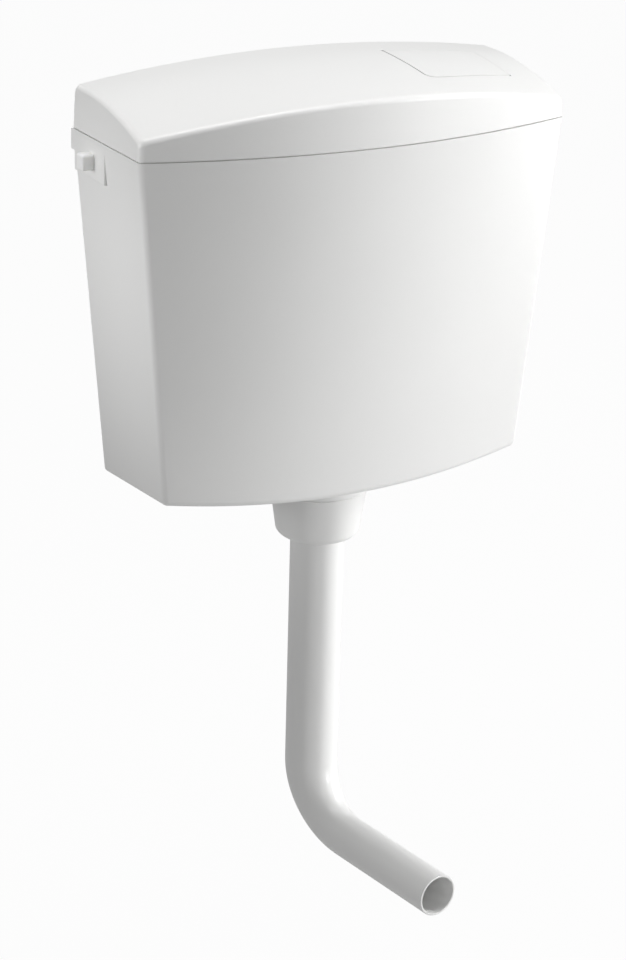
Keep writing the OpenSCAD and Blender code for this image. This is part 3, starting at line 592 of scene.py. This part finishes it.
def pocket_boxes():
    """The shelf and the two ribs at each end of the cross beam, as (low, high) corners."""
    half = bridge_high.x - BRIDGE_X + POCKET_GAP
    left = BRIDGE_X - half - POCKET_RIB
    right = BRIDGE_X + half + POCKET_RIB
    shelf_z = bridge_low.z - SHELF_T
    front = front_y(BRIDGE_X, bridge_low.z) + WALL
    in_wall = front_y(right, shelf_z) + LAP
    boxes = []
    for y0, y1 in ((REAR - WALL - POCKET_REACH, REAR - WALL / 2), (in_wall, front + POCKET_REACH)):
        boxes.append(((left, y0, shelf_z), (right, y1, bridge_low.z)))
        for x0 in (left, BRIDGE_X + half):
            boxes.append(((x0, y0, shelf_z + RIB_LAP), (x0 + POCKET_RIB, y1, bridge_low.z + BEAM_H)))
    return boxes


# %% Build the tank


def build_tank():
    tank = tank_form("tank_moulding", 0, RIM)
    top = RIM - RIM_STEP
    weld(tank, rounded_box("rail", (-PAD_X, REAR - LAP, -RAIL_H / 2), (PAD_X, 0, top), PAD_EDGE))
    for side in (-1, 1):
        inner = half_w(RIM - PAD_H) - WALL / 2
        low_x, high_x = sorted((side * inner, side * PAD_X))
        weld(tank, rounded_box("pad", (low_x, REAR - PAD_DEPTH, RIM - PAD_H),
                               (high_x, REAR - PAD_BACK, top), PAD_EDGE))
        start = (side * SCREW_SPACING / 2, REAR - LAP, SPACER_Z)
        weld(tank, rod("spacer", SPACER_R, start, LAP - REAR, "Y", SPACER_EDGE))
    weld(tank, rod("neck", NECK_R, (0, OUTLET_Y, NECK_Z), NECK_LEN, "Z", NECK_EDGE))
    carve(tank, tank_form("water_space", WALL, RIM + 2 * PAST))
    for side in (-1, 1):
        low_x, high_x = sorted((side * (PAD_X - PAD_T), side * (PAD_X - LAP)))
        weld(tank, rounded_box("block", (low_x, INLET_Y - PAD_IN_DEPTH / 2, RIM - PAD_H),
                               (high_x, INLET_Y + PAD_IN_DEPTH / 2, RIM - PAD_IN_DROP), PAD_IN_EDGE))
    for low, high in pocket_boxes():
        weld(tank, rounded_box("pocket", low, high, 0))
    carve(tank, rod("neck_bore", NECK_R - NECK_WALL, (0, OUTLET_Y, NECK_Z + NECK_WALL), NECK_BORE_LEN))
    carve(tank, rod("seat_hole", SEAT_HOLE_R, (0, OUTLET_Y, NECK_Z - PAST), SEAT_HOLE_LEN))
    for side in (-1, 1):
        start = (side * SCREW_SPACING / 2, REAR - WALL - 2 * PAST, 0)
        carve(tank, rod("screw_hole", SCREW_R, start, WALL - REAR + 4 * PAST, "Y"))
    for x0, radius in ((PAD_X - PAD_T, INLET_HOLE_R), (-PAD_X, PLUG_HOLE_R)):
        carve(tank, rod("inlet_hole", radius, (x0 - PAST, INLET_Y, INLET_Z), PAD_T + 2 * PAST, "X"))
    return fit(skin(tank), "tank")


tank = build_tank()
print("tank", len(tank.data.polygons), "faces")

# %% [markdown]
# ## The lid and its push plate
#
# The lid is crowned both ways: it is highest at the middle of its rear edge and rolls over towards the
# front. Its lower edge is set back a little, which draws the dark line between lid and tank. The push
# plate is cut out of the same crowned form, so that its top runs on without a step.

# %% Slices of the lid
LID_REAR_H = 39.0
LID_FRONT_H = 17.5
LID_REAR_ARCH = 16.0
LID_FRONT_ARCH = 25.0
LID_WALL = 2.8
LID_DRAFT = math.tan(math.radians(3))
LID_EDGE_R = 4.0
LEAST_EDGE_R = 1.0
LEAST_CORNER_R = 1.5
FLAT_SHARE = 0.2
CROWN_POWER = 1.7
CROWN_STEPS = 30
SEAT_GAP = 0.1
SHADOW_LINE = 1.3
SHADOW_DEPTH = 2.3
LIP_GAP = 1.5
LIP_OUT = WALL + LIP_GAP
LIP_T = 2.0
LIP_DROP = 7.0
BAND_H = 5.0
BAND_LAP = 0.5


def lid_z(x, y):
    """The lid's crowned top: level near the rear, then rolling over towards the front."""
    even = 1 - (2 * x / TANK_W) ** 2
    share = (REAR - y) / (SIDE_DEPTH + FRONT_BOW * even)
    rear_h = LID_REAR_H + LID_REAR_ARCH * even
    front_h = LID_FRONT_H + LID_FRONT_ARCH * even
    roll = max(0.0, (share - FLAT_SHARE) / (1 - FLAT_SHARE)) ** CROWN_POWER
    return RIM + rear_h - (rear_h - front_h) * roll


def lid_slice(station, off, low):
    """Outline of one upright slice, set in from the outside by off, with its lower edge at low."""
    side, inset, recess = station
    radius = max(LEAST_EDGE_R, LID_EDGE_R - off)
    x = side * (TANK_W / 2 - off - inset)
    y_front = front_y(x, RIM) + off + recess
    y_rear = REAR - off
    turns = [math.pi / 2 * k / EDGE_STEPS for k in range(EDGE_STEPS + 1)]
    top = [(y_front + radius * (1 - math.cos(a)), radius * (1 - math.sin(a))) for a in turns]
    top += [(mix(y_front + radius, y_rear - radius, j / CROWN_STEPS), 0) for j in range(1, CROWN_STEPS)]
    top += [(y_rear - radius * (1 - math.cos(a)), radius * (1 - math.sin(a))) for a in reversed(turns)]
    points = [(x, y_rear, low), (x, y_front, low)]
    for y, cut in top:
        z = lid_z(side * (TANK_W / 2 - inset), y) - off - recess - cut
        points.append((side * (TANK_W / 2 - (z - RIM) * LID_DRAFT - off - inset), y, z))
    return points


def lid_form(name, off, low):
    across = stations(max(LEAST_CORNER_R, CORNER_R - off))
    return loft(name, [lid_slice(station, off, low) for station in across])


def lid_shell(name):
    return carve(lid_form(name, 0, RIM + SEAT_GAP), lid_form("hollow", LID_WALL, RIM - PAST))


def rim_outline(off):
    """The rim's outline in plan, set in by off."""
    points = []
    for side, inset, recess in stations(max(LEAST_EDGE_R, CORNER_R - off)):
        x = side * (TANK_W / 2 - off - inset)
        points.append((x, front_y(x, RIM) + off + recess))
    return points + [(TANK_W / 2 - off, REAR - off), (off - TANK_W / 2, REAR - off)]


def prism(name, outline, low, high):
    return loft(name, [[(x, y, z) for x, y in outline] for z in (low, high)])


def rim_ring(name, off_out, off_in, low, high):
    """A ring that follows the rim, between two insets and two heights."""
    core = prism("core", rim_outline(off_in), low - PAST, high + PAST)
    return carve(prism(name, rim_outline(off_out), low, high), core)


print("lid rises", round(lid_z(0, REAR) - RIM, 1), "mm over the rim at the rear")

# %% Outline of the push plate
plate_low, plate_high = in_mm(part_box("flush_button"))
PLATE_INSET = 41.0
PLATE_SLOT = 1.5
PLATE_CLOSE = 0.4
PLATE_CORNER_R = 9.0
PLATE_STEPS = 14
PLATE_CUT_LOW = RIM + 20
PLATE_CUT_HIGH = RIM + 90
RELIEF_R = 1.8
RELIEF_LEN = 60.0
pin_low, pin_high = in_mm(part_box("button_hinge_pin"))
PIN_LEN = pin_high.x - pin_low.x
HINGE_Y = (pin_low.y + pin_high.y) / 2
HINGE_Z = (pin_low.z + pin_high.z) / 2
HINGE_HOLE_R = 2.05
HINGE_HOLE_PAST = 5.0
HINGE_EAR_W = 5.0
HINGE_ARM_W = 6.0
HINGE_FRONT = 5.0
HINGE_BACK = 4.5
HINGE_DROP = 5.0
EAR_IN = 0.5
ARM_IN = 6.0
press_low, press_high = in_mm(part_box("button_pusher"))
PRESS_X = (press_low.x + press_high.x) / 2
PRESS_Y = (press_low.y + press_high.y) / 2
BOSS_R = 7.0
BOSS_UP = 25.0
BOSS_Z = RIM + BOSS_UP
BOSS_EDGE = 0.6
SOCKET_R = 4.15


def plate_front(x):
    return front_y(x, RIM) + PLATE_INSET


def plate_outline(open_gap, close_gap):
    """The plate's plan outline, grown by one gap at left and front and by another at right and rear."""
    x0 = plate_low.x - open_gap
    x1 = plate_high.x + close_gap
    radius = PLATE_CORNER_R + open_gap
    points = []
    for k in range(PLATE_STEPS + 1):
        angle = math.pi / 2 * k / PLATE_STEPS
        x = x0 + radius * (1 - math.cos(angle))
        points.append((x, plate_front(x) - open_gap + radius * (1 - math.sin(angle))))
    for k in range(1, PLATE_STEPS + 1):
        x = mix(x0 + radius, x1, k / PLATE_STEPS)
        points.append((x, plate_front(x) - open_gap))
    return points + [(x1, plate_high.y + close_gap), (x0, plate_high.y + close_gap)]


def plate_prism(name, open_gap, close_gap):
    return prism(name, plate_outline(open_gap, close_gap), PLATE_CUT_LOW, PLATE_CUT_HIGH)


def hung_box(name, x0, width):
    """A hinge ear or arm that hangs from the crown at the hinge line."""
    top = lid_z(x0 + width / 2, HINGE_Y) - LID_WALL / 2
    return rounded_box(name, (x0, HINGE_Y - HINGE_FRONT, HINGE_Z - HINGE_DROP),
                       (x0 + width, HINGE_Y + HINGE_BACK, top), 0)


# %% Build the lid and the push plate


def build_lid():
    lid = lid_shell("lid_moulding")
    weld(lid, rim_ring("band", SHADOW_DEPTH, LIP_OUT + LIP_T, RIM + SEAT_GAP, RIM + BAND_H))
    weld(lid, rim_ring("lip", LIP_OUT, LIP_OUT + LIP_T, RIM - LIP_DROP, RIM + BAND_H - BAND_LAP))
    for x0 in (pin_low.x + EAR_IN, pin_high.x - EAR_IN - HINGE_EAR_W):
        weld(lid, hung_box("ear", x0, HINGE_EAR_W))
    carve(lid, rim_ring("shadow_line", -2 * PAST, SHADOW_DEPTH, RIM - PAST, RIM + SHADOW_LINE))
    carve(lid, plate_prism("plate_opening", PLATE_SLOT, PLATE_CLOSE))
    slot_ends = [(plate_low.x - PLATE_SLOT / 2, plate_high.y),
                 (plate_high.x, plate_front(plate_high.x) - PLATE_SLOT / 2)]
    for x, y in slot_ends:
        carve(lid, rod("relief", RELIEF_R, (x, y, PLATE_CUT_LOW), RELIEF_LEN))
    start = (pin_low.x - HINGE_HOLE_PAST, HINGE_Y, HINGE_Z)
    carve(lid, rod("pin_hole", HINGE_HOLE_R, start, PIN_LEN + 2 * HINGE_HOLE_PAST, "X"))
    return fit(skin(lid), "lid")


def build_push_plate():
    plate = carve(lid_shell("push_plate"), plate_prism("plate_cut", 0, 0), "INTERSECT")
    for x0 in (plate_low.x + ARM_IN, plate_high.x - ARM_IN - HINGE_ARM_W):
        weld(plate, hung_box("arm", x0, HINGE_ARM_W))
    boss_top = lid_z(PRESS_X, PRESS_Y) - LID_WALL + LAP
    weld(plate, rod("boss", BOSS_R, (PRESS_X, PRESS_Y, BOSS_Z), boss_top - BOSS_Z, "Z", BOSS_EDGE))
    carve(plate, rod("pin_hole", HINGE_HOLE_R, (pin_low.x, HINGE_Y, HINGE_Z), PIN_LEN, "X"))
    carve(plate, rod("socket", SOCKET_R, (PRESS_X, PRESS_Y, BOSS_Z - PAST), press_high.z - BOSS_Z + PAST))
    return fit(skin(plate), "flush_button")


lid = build_lid()
push_plate = build_push_plate()
print("lid", len(lid.data.polygons), "faces, push plate", len(push_plate.data.polygons))

# %% [markdown]
# ## The flush pipe
#
# The pipe is one tube that is bent and drawn down from 50 to 40 mm. A sweep along a path is a job for
# Geometry Nodes: the path carries its own radius at every point, Curve to Mesh gives it a round section,
# and a Solidify modifier then gives the wall its thickness.

# %% Path of the pipe
pipe_low, pipe_high = in_mm(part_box("flush_pipe"))
PIPE_R = 25.0
SPIGOT_R = 20.0
PIPE_WALL = 2.0
BEND_R = 60.0
LOWER_LEG = 196.0
LEG_TURN = math.radians(8)
PIPE_EDGE = 0.5
PIPE_EDGE_ANGLE = 60
PIPE_SIDES = 72
# Points of the swept tube that lie closer than this, in metres, are one point
PIPE_MERGE = 1e-6
BEAD_R = 29.0
BEAD_T = 5.0
BEAD_EDGE = 1.0
BEAD_EASE = 0.4
CORNER_Z = pipe_low.z + SPIGOT_R
DOWN_STEPS = 8
BEND_STEPS = 28
LOWER_STEPS = 6


def pipe_path():
    """Points down the first leg, round the bend and out along the lower leg, each with its radius."""
    ahead = Vector((math.sin(LEG_TURN), -math.cos(LEG_TURN), 0))
    axis = Vector((0, OUTLET_Y, 0))
    bend_top = CORNER_Z + BEND_R
    path = [(axis + Vector((0, 0, mix(pipe_high.z, bend_top, k / DOWN_STEPS))), PIPE_R)
            for k in range(DOWN_STEPS)]
    for k in range(BEND_STEPS + 1):
        t = k / BEND_STEPS
        angle = math.pi / 2 * t
        point = axis + ahead * BEND_R * (1 - math.cos(angle))
        point.z = bend_top - BEND_R * math.sin(angle)
        path.append((point, mix(PIPE_R, SPIGOT_R, t * t * (3 - 2 * t))))
    for k in range(1, LOWER_STEPS + 1):
        point = axis + ahead * mix(BEND_R, LOWER_LEG, k / LOWER_STEPS)
        point.z = CORNER_Z
        path.append((point, SPIGOT_R))
    return path


print("pipe path", len(pipe_path()), "points")

# %% Sweep along a path


def sweep_tree():
    """A tree that sweeps a circle along a curve and uses the curve's own radius."""
    tree = bpy.data.node_groups.new("sweep_pipe", "GeometryNodeTree")
    tree.interface.new_socket("Geometry", in_out="INPUT", socket_type="NodeSocketGeometry")
    sides = tree.interface.new_socket("Sides", in_out="INPUT", socket_type="NodeSocketInt")
    sides.default_value = PIPE_SIDES
    finish = tree.interface.new_socket("Material", in_out="INPUT", socket_type="NodeSocketMaterial")
    tree.interface.new_socket("Geometry", in_out="OUTPUT", socket_type="NodeSocketGeometry")
    source = put(tree, "NodeGroupInput")
    circle = put(tree, "GeometryNodeCurvePrimitiveCircle", {"Radius": 1.0},
                 {"Resolution": source.outputs["Sides"]}, mode="RADIUS")
    own = put(tree, "GeometryNodeInputRadius")
    swept = put(tree, "GeometryNodeCurveToMesh",
                links={"Curve": source.outputs["Geometry"], "Profile Curve": circle.outputs["Curve"],
                       "Scale": own.outputs["Radius"]})
    real = put(tree, "GeometryNodeRealizeInstances", links={"Geometry": swept.outputs["Mesh"]})
    painted = put(tree, "GeometryNodeSetMaterial",
                  links={"Geometry": real.outputs["Geometry"], "Material": source.outputs["Material"]})
    put(tree, "NodeGroupOutput", links={"Geometry": painted.outputs["Geometry"]})
    return tree, finish.identifier


# %% Build the pipe


def join(name, objs):
    """One object with the meshes of several, which are then removed."""
    bm = bmesh.new()
    for obj in objs:
        bm.from_mesh(obj.data)
        bpy.data.objects.remove(obj)
    mesh = bpy.data.meshes.new(name)
    bm.to_mesh(mesh)
    bm.free()
    return place_object(name, mesh)


def face_outwards(mesh, merge=0.0):
    """Merges points closer than merge, in metres, and turns all faces outwards."""
    bm = bmesh.new()
    bm.from_mesh(mesh)
    if merge:
        bmesh.ops.remove_doubles(bm, verts=bm.verts, dist=merge)
    bmesh.ops.recalc_face_normals(bm, faces=bm.faces)
    bm.to_mesh(mesh)
    bm.free()


def build_pipe():
    path = pipe_path()
    curve = bpy.data.curves.new("pipe_path", "CURVE")
    curve.dimensions = "3D"
    curve.twist_mode = "MINIMUM"
    spline = curve.splines.new("POLY")
    spline.points.add(len(path) - 1)
    for point, (place, radius) in zip(spline.points, path):
        point.co = (*(place * MM), 1)
        point.radius = radius * MM
    swept = place_object("pipe_path", curve)
    tree, finish = sweep_tree()
    modifier = swept.modifiers.new("sweep", "NODES")
    modifier.node_group = tree
    modifier[finish] = MATERIAL_OF_SLOT["white_pvc"]
    graph = bpy.context.evaluated_depsgraph_get()
    mesh = bpy.data.meshes.new_from_object(swept.evaluated_get(graph))
    bpy.data.objects.remove(swept)
    pipe = place_object("flush_pipe_tube", mesh)
    face_outwards(mesh, PIPE_MERGE)
    wall = pipe.modifiers.new("wall", "SOLIDIFY")
    wall.thickness = PIPE_WALL * MM
    wall.offset = -1
    edge = pipe.modifiers.new("edge", "BEVEL")
    edge.width = PIPE_EDGE * MM
    edge.segments = 2
    edge.limit_method = "ANGLE"
    edge.angle_limit = math.radians(PIPE_EDGE_ANGLE)
    bake(pipe)
    inner = PIPE_R - PIPE_WALL / 2
    rim = BEAD_R - BEAD_EDGE
    profile = [(inner, BEAD_EASE), *arc(rim, BEAD_EDGE, BEAD_EDGE, -90, 0),
               *arc(rim, BEAD_T - BEAD_EDGE, BEAD_EDGE, 0, 90), (inner, BEAD_T - BEAD_EASE)]
    bead = turned("bead", profile, (0, OUTLET_Y, pipe_high.z - BEAD_T))
    return fit(skin(join("flush_pipe_tube", [pipe, bead])), "flush_pipe")


flush_pipe = build_pipe()
print("pipe", len(flush_pipe.data.polygons), "faces")

# %% [markdown]
# ## The union collar and the blanking plug
#
# The collar is a turned shape: a tapered cup whose lower end rounds in to the pipe. The plug in the unused
# left inlet has a plain square head for a spanner, with every edge well rounded.

# %% The union collar
COLLAR_STEP = 1.0
COLLAR_WALL = 4.0
COLLAR_TAPER = 5.6
COLLAR_ROUND_H = 9.2
COLLAR_FLAT = 1.0
COLLAR_GAP = 0.3
COLLAR_SEAT_R = 30.15
COLLAR_SHELF_DROP = 13.0
COLLAR_TOP_R = 0.7
COLLAR_CUP_EASE = 0.3
COLLAR_HOLE_EASE = 0.6
COLLAR_SIDES = 128


def build_collar():
    top_r = NECK_R - COLLAR_STEP
    cup_r = top_r - COLLAR_WALL
    low_r = top_r - COLLAR_TAPER
    hole_r = PIPE_R + COLLAR_GAP
    base = collar_low.z
    top = collar_high.z
    bead_z = pipe_high.z - BEAD_T
    shelf = NECK_Z - COLLAR_SHELF_DROP
    round_w = low_r - hole_r - COLLAR_FLAT
    end = [(low_r - round_w * (1 - c), base + COLLAR_ROUND_H * (1 + s)) for c, s in arc(0, 0, 1, 0, -90, 12)]
    profile = [(hole_r, base + COLLAR_HOLE_EASE), (hole_r, bead_z), (COLLAR_SEAT_R, bead_z),
               (COLLAR_SEAT_R, shelf), (cup_r, shelf), (cup_r, top - COLLAR_CUP_EASE),
               (cup_r + COLLAR_CUP_EASE, top),
               *reversed(arc(top_r - COLLAR_TOP_R, top - COLLAR_TOP_R, COLLAR_TOP_R, 0, 90, 4)),
               *end, (hole_r + COLLAR_HOLE_EASE, base)]
    collar = turned("union_collar_cup", profile, (0, OUTLET_Y, 0), steps=COLLAR_SIDES)
    return fit(skin(collar), "union_collar")


collar = build_collar()
print("collar", len(collar.data.polygons), "faces")

# %% The blanking plug
PLUG_R = 6.0
PLUG_EDGE_R = 2.2
SHANK_IN = 3.0
SHANK_EDGE = 0.8


def build_plug():
    """The rounded square head is made too long and cut flat where it sits on the pad."""
    low, high = in_mm(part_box("left_inlet_plug"))
    square = rounded_box("square", low, (2 * PLUG_EDGE_R - PAD_X, high.y, high.z), PLUG_EDGE_R, 4)
    carve(square, rounded_box("behind", (-PAD_X, low.y - PAST, low.z - PAST),
                              (0, high.y + PAST, high.z + PAST), 0))
    start = (-PAD_X - SHANK_IN, INLET_Y, INLET_Z)
    shank = rod("shank", PLUG_R, start, high.x + PAD_X + SHANK_IN, "X", SHANK_EDGE)
    return fit(skin(join("blanking_plug", [square, shank])), "left_inlet_plug")


plug = build_plug()
print("plug", len(plug.data.polygons), "faces")

# %% [markdown]
# ## The works inside
#
# The valve parts keep the form of their solids. Real mouldings have no knife edges, so each one is copied,
# its triangles are merged back into faces, and its edges get a small bevel that catches the light.

# %% Bevelled copies of the inner pieces
BREAK_EDGE = {"lever_bridge": 0.8, "flush_lever": 1.0, "fill_valve_body": 0.7, "fill_valve_cap": 0.7,
              "float_arm": 0.6, "flush_float": 2.5, "fill_float": 2.0, "valve_cage": 0.6}
USUAL_EDGE = 0.35
# Points of a solid's triangles that lie closer than this, in metres, are one point
SOLID_MERGE = 2e-6
FLAT_ANGLE = math.radians(0.6)
EDGE_ANGLE = math.radians(40)


def broken_edges(node):
    piece = place_object(node + "_moulded", frame["nodes"][node].data.copy())
    bm = bmesh.new()
    bm.from_mesh(piece.data)
    bmesh.ops.remove_doubles(bm, verts=bm.verts, dist=SOLID_MERGE)
    bmesh.ops.dissolve_limit(bm, angle_limit=FLAT_ANGLE, verts=bm.verts, edges=bm.edges)
    bm.to_mesh(piece.data)
    bm.free()
    edge = piece.modifiers.new("edge", "BEVEL")
    edge.width = BREAK_EDGE.get(node, USUAL_EDGE) * MM
    edge.segments = 2
    edge.limit_method = "ANGLE"
    edge.angle_limit = EDGE_ANGLE
    edge.use_clamp_overlap = True
    bake(piece)
    return fit(skin(piece), node)


visible = {"tank", "lid", "flush_button", "flush_pipe", "union_collar", "left_inlet_plug"}
for node_name in sorted(frame["nodes"]):
    if node_name not in visible:
        broken_edges(node_name)
print("inner pieces", len(frame["nodes"]) - len(visible))

# %% [markdown]
# ## Threads
#
# A thread is one ridge that runs round and round a shank. Geometry Nodes draw it as a spiral with a small
# round section. The same tree serves the inlet tail and the float's setting screw, each with its own
# sizes.

# %% Thread ridges
TURN_STEPS = 28
RIDGE_SIDES = 6
# How far a ridge's centre line lies inside its shank
RIDGE_SINK = 0.1
THREAD_ANGLE = 60


def thread_tree():
    """A tree that draws one ridge along +Z from its radius, length, turns and thickness."""
    tree = bpy.data.node_groups.new("thread_ridge", "GeometryNodeTree")
    names = [("Radius", "NodeSocketFloat"), ("Length", "NodeSocketFloat"), ("Turns", "NodeSocketFloat"),
             ("Ridge", "NodeSocketFloat"), ("Material", "NodeSocketMaterial")]
    sockets = {name: tree.interface.new_socket(name, in_out="INPUT", socket_type=kind).identifier
               for name, kind in names}
    tree.interface.new_socket("Geometry", in_out="OUTPUT", socket_type="NodeSocketGeometry")
    source = put(tree, "NodeGroupInput")
    spiral = put(tree, "GeometryNodeCurveSpiral", {"Resolution": TURN_STEPS},
                 {"Start Radius": source.outputs["Radius"], "End Radius": source.outputs["Radius"],
                  "Height": source.outputs["Length"], "Rotations": source.outputs["Turns"]})
    section = put(tree, "GeometryNodeCurvePrimitiveCircle", {"Resolution": RIDGE_SIDES},
                  {"Radius": source.outputs["Ridge"]}, mode="RADIUS")
    ridge = put(tree, "GeometryNodeCurveToMesh", {"Fill Caps": True},
                {"Curve": spiral.outputs["Curve"], "Profile Curve": section.outputs["Curve"]})
    real = put(tree, "GeometryNodeRealizeInstances", links={"Geometry": ridge.outputs["Mesh"]})
    painted = put(tree, "GeometryNodeSetMaterial",
                  links={"Geometry": real.outputs["Geometry"], "Material": source.outputs["Material"]})
    put(tree, "NodeGroupOutput", links={"Geometry": painted.outputs["Geometry"]})
    return tree, sockets


def thread(name, tree, sockets, radius, length, pitch, ridge, place, node):
    """A ridge of that pitch on a shank, moved into place by a matrix, that rides with the node's body."""
    piece = place_object(name, bpy.data.meshes.new(name))
    modifier = piece.modifiers.new("thread", "NODES")
    modifier.node_group = tree
    sizes = {"Radius": (radius - RIDGE_SINK) * MM, "Length": length * MM, "Turns": length / pitch,
             "Ridge": ridge * MM}
    for key, value in sizes.items():
        modifier[sockets[key]] = value
    modifier[sockets["Material"]] = MATERIAL_OF_SLOT[slot_of_node[node]]
    bake(piece)
    piece.data.transform(Matrix.Translation(place.to_translation() * MM) @ place.to_3x3().to_4x4())
    face_outwards(piece.data)
    skin(piece, THREAD_ANGLE)
    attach(piece, body_of_node[node])
    return piece


# %% Threads of the inlet tail and the setting screw
tree, sockets = thread_tree()
TAIL_R = 8.3
TAIL_PITCH = 1.337
TAIL_RIDGE = 0.42
TAIL_START = 2.2
TAIL_BARE = 3.4
tail_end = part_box("fill_valve_body")[1].x / MM
nut_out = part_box("fill_valve_nut")[1].x / MM
sideways = Matrix.Translation((nut_out + TAIL_START, INLET_Y, INLET_Z)) @ Matrix.Rotation(math.pi / 2, 4, "Y")
tail_thread = thread("inlet_tail_thread", tree, sockets, TAIL_R, tail_end - nut_out - TAIL_BARE, TAIL_PITCH,
                     TAIL_RIDGE, sideways, "fill_valve_body")
SCREW_ROD_R = 2.5
SCREW_PITCH = 0.8
SCREW_RIDGE = 0.24
SCREW_START = 0.6
SCREW_BARE = 5.5
screw_low, screw_high = in_mm(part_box("float_screw"))
float_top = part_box("fill_float")[1].z / MM
upright = Matrix.Translation(((screw_low.x + screw_high.x) / 2, INLET_Y, float_top + SCREW_START))
screw_thread = thread("float_screw_thread", tree, sockets, SCREW_ROD_R, screw_high.z - float_top - SCREW_BARE,
                      SCREW_PITCH, SCREW_RIDGE, upright, "float_screw")
print("threads", len(tail_thread.data.polygons), len(screw_thread.data.polygons))

# %% [markdown]
# ## Floor and light
#
# The photograph is a studio cut-out on white. A tall lamp from the right, turned well round to the side,
# shades the bowed front from grey at the left to white at the right. One such lamp alone burns out the
# right end before the middle is bright enough, so a second, narrow one stands further to the front. A
# small one at the left lifts the side wall, and a lamp overhead lights the crown of the lid. The floor and
# the world are white for the camera.

# %% Studio
# The studio is set out in metres
FLOOR_GAP = 0.10
FLOOR_SIZE = 14.0
FLOOR_PAPER = "#D6D6D6"
# Share of plain white in what the camera sees of the floor; the rest shows the shadow
FLOOR_WHITE = 0.96
AMBIENT = 0.355


def make_floor():
    """A sheet of grey paper below the object, nearly white for the camera, that keeps its shadow."""
    bm = bmesh.new()
    bmesh.ops.create_grid(bm, x_segments=1, y_segments=1, size=FLOOR_SIZE / 2 / MM)
    floor = mesh_object("studio_floor", bm)
    floor.location.z = cad_box[0].z - FLOOR_GAP
    material, tree = blank_material("paper_floor")
    paper = put(tree, "ShaderNodeBsdfDiffuse", {"Color": srgb(FLOOR_PAPER)})
    white = put(tree, "ShaderNodeEmission", {"Color": (1, 1, 1, 1), "Strength": 1.0})
    ray = put(tree, "ShaderNodeLightPath")
    share = put(tree, "ShaderNodeMath", {1: FLOOR_WHITE}, {0: ray.outputs["Is Camera Ray"]},
                operation="MULTIPLY")
    both = put(tree, "ShaderNodeMixShader",
               links={"Fac": share.outputs["Value"], 1: paper.outputs["BSDF"], 2: white.outputs["Emission"]})
    put(tree, "ShaderNodeOutputMaterial", links={"Surface": both.outputs["Shader"]})
    floor.data.materials.append(material)
    return floor


def make_world():
    """White for the camera, and a dim even light on the object."""
    world = bpy.data.worlds.new("studio_world")
    bpy.context.scene.world = world
    world.use_nodes = True
    tree = world.node_tree
    tree.nodes.clear()
    ray = put(tree, "ShaderNodeLightPath")
    level = put(tree, "ShaderNodeMapRange", {"To Min": AMBIENT, "To Max": 1.0},
                {"Value": ray.outputs["Is Camera Ray"]})
    glow = put(tree, "ShaderNodeBackground", {"Color": (1, 1, 1, 1)}, {"Strength": level.outputs["Result"]})
    put(tree, "ShaderNodeOutputWorld", links={"Surface": glow.outputs["Background"]})


def softbox(name, place, aim, size, watts, spread=180):
    """A rectangular lamp at a place, in metres, that shines towards another within an angle in degrees."""
    data = bpy.data.lights.new(name, "AREA")
    data.shape = "RECTANGLE"
    data.size, data.size_y = size
    data.energy = watts
    data.spread = math.radians(spread)
    lamp = place_object(name, data)
    lamp.location = place
    lamp.rotation_euler = (Vector(aim) - Vector(place)).to_track_quat("-Z", "Y").to_euler()
    return lamp


# %% Set up the studio
floor = make_floor()
make_world()
lamps = [
    softbox("right_softbox", place=(2.47, -0.76, 0.25), aim=(0, -0.1, -0.2), size=(0.5, 2.0), watts=53),
    softbox("front_softbox", place=(1.09, -1.35, -0.28), aim=(0.07, -0.17, -0.28), size=(0.3, 0.9),
            watts=0.29, spread=11),
    softbox("left_softbox", place=(-0.9, 0.1, 0.02), aim=(-0.2, -0.08, -0.08), size=(0.35, 0.35),
            watts=0.2, spread=35),
    softbox("top_softbox", place=(-0.05, -0.15, 1.1), aim=(0, -0.1, 0), size=(0.8, 0.7), watts=7.9),
]
bpy.context.scene.view_settings.view_transform = "Standard"
print("floor at", round(floor.location.z, 3), "m, lamps", len(lamps))
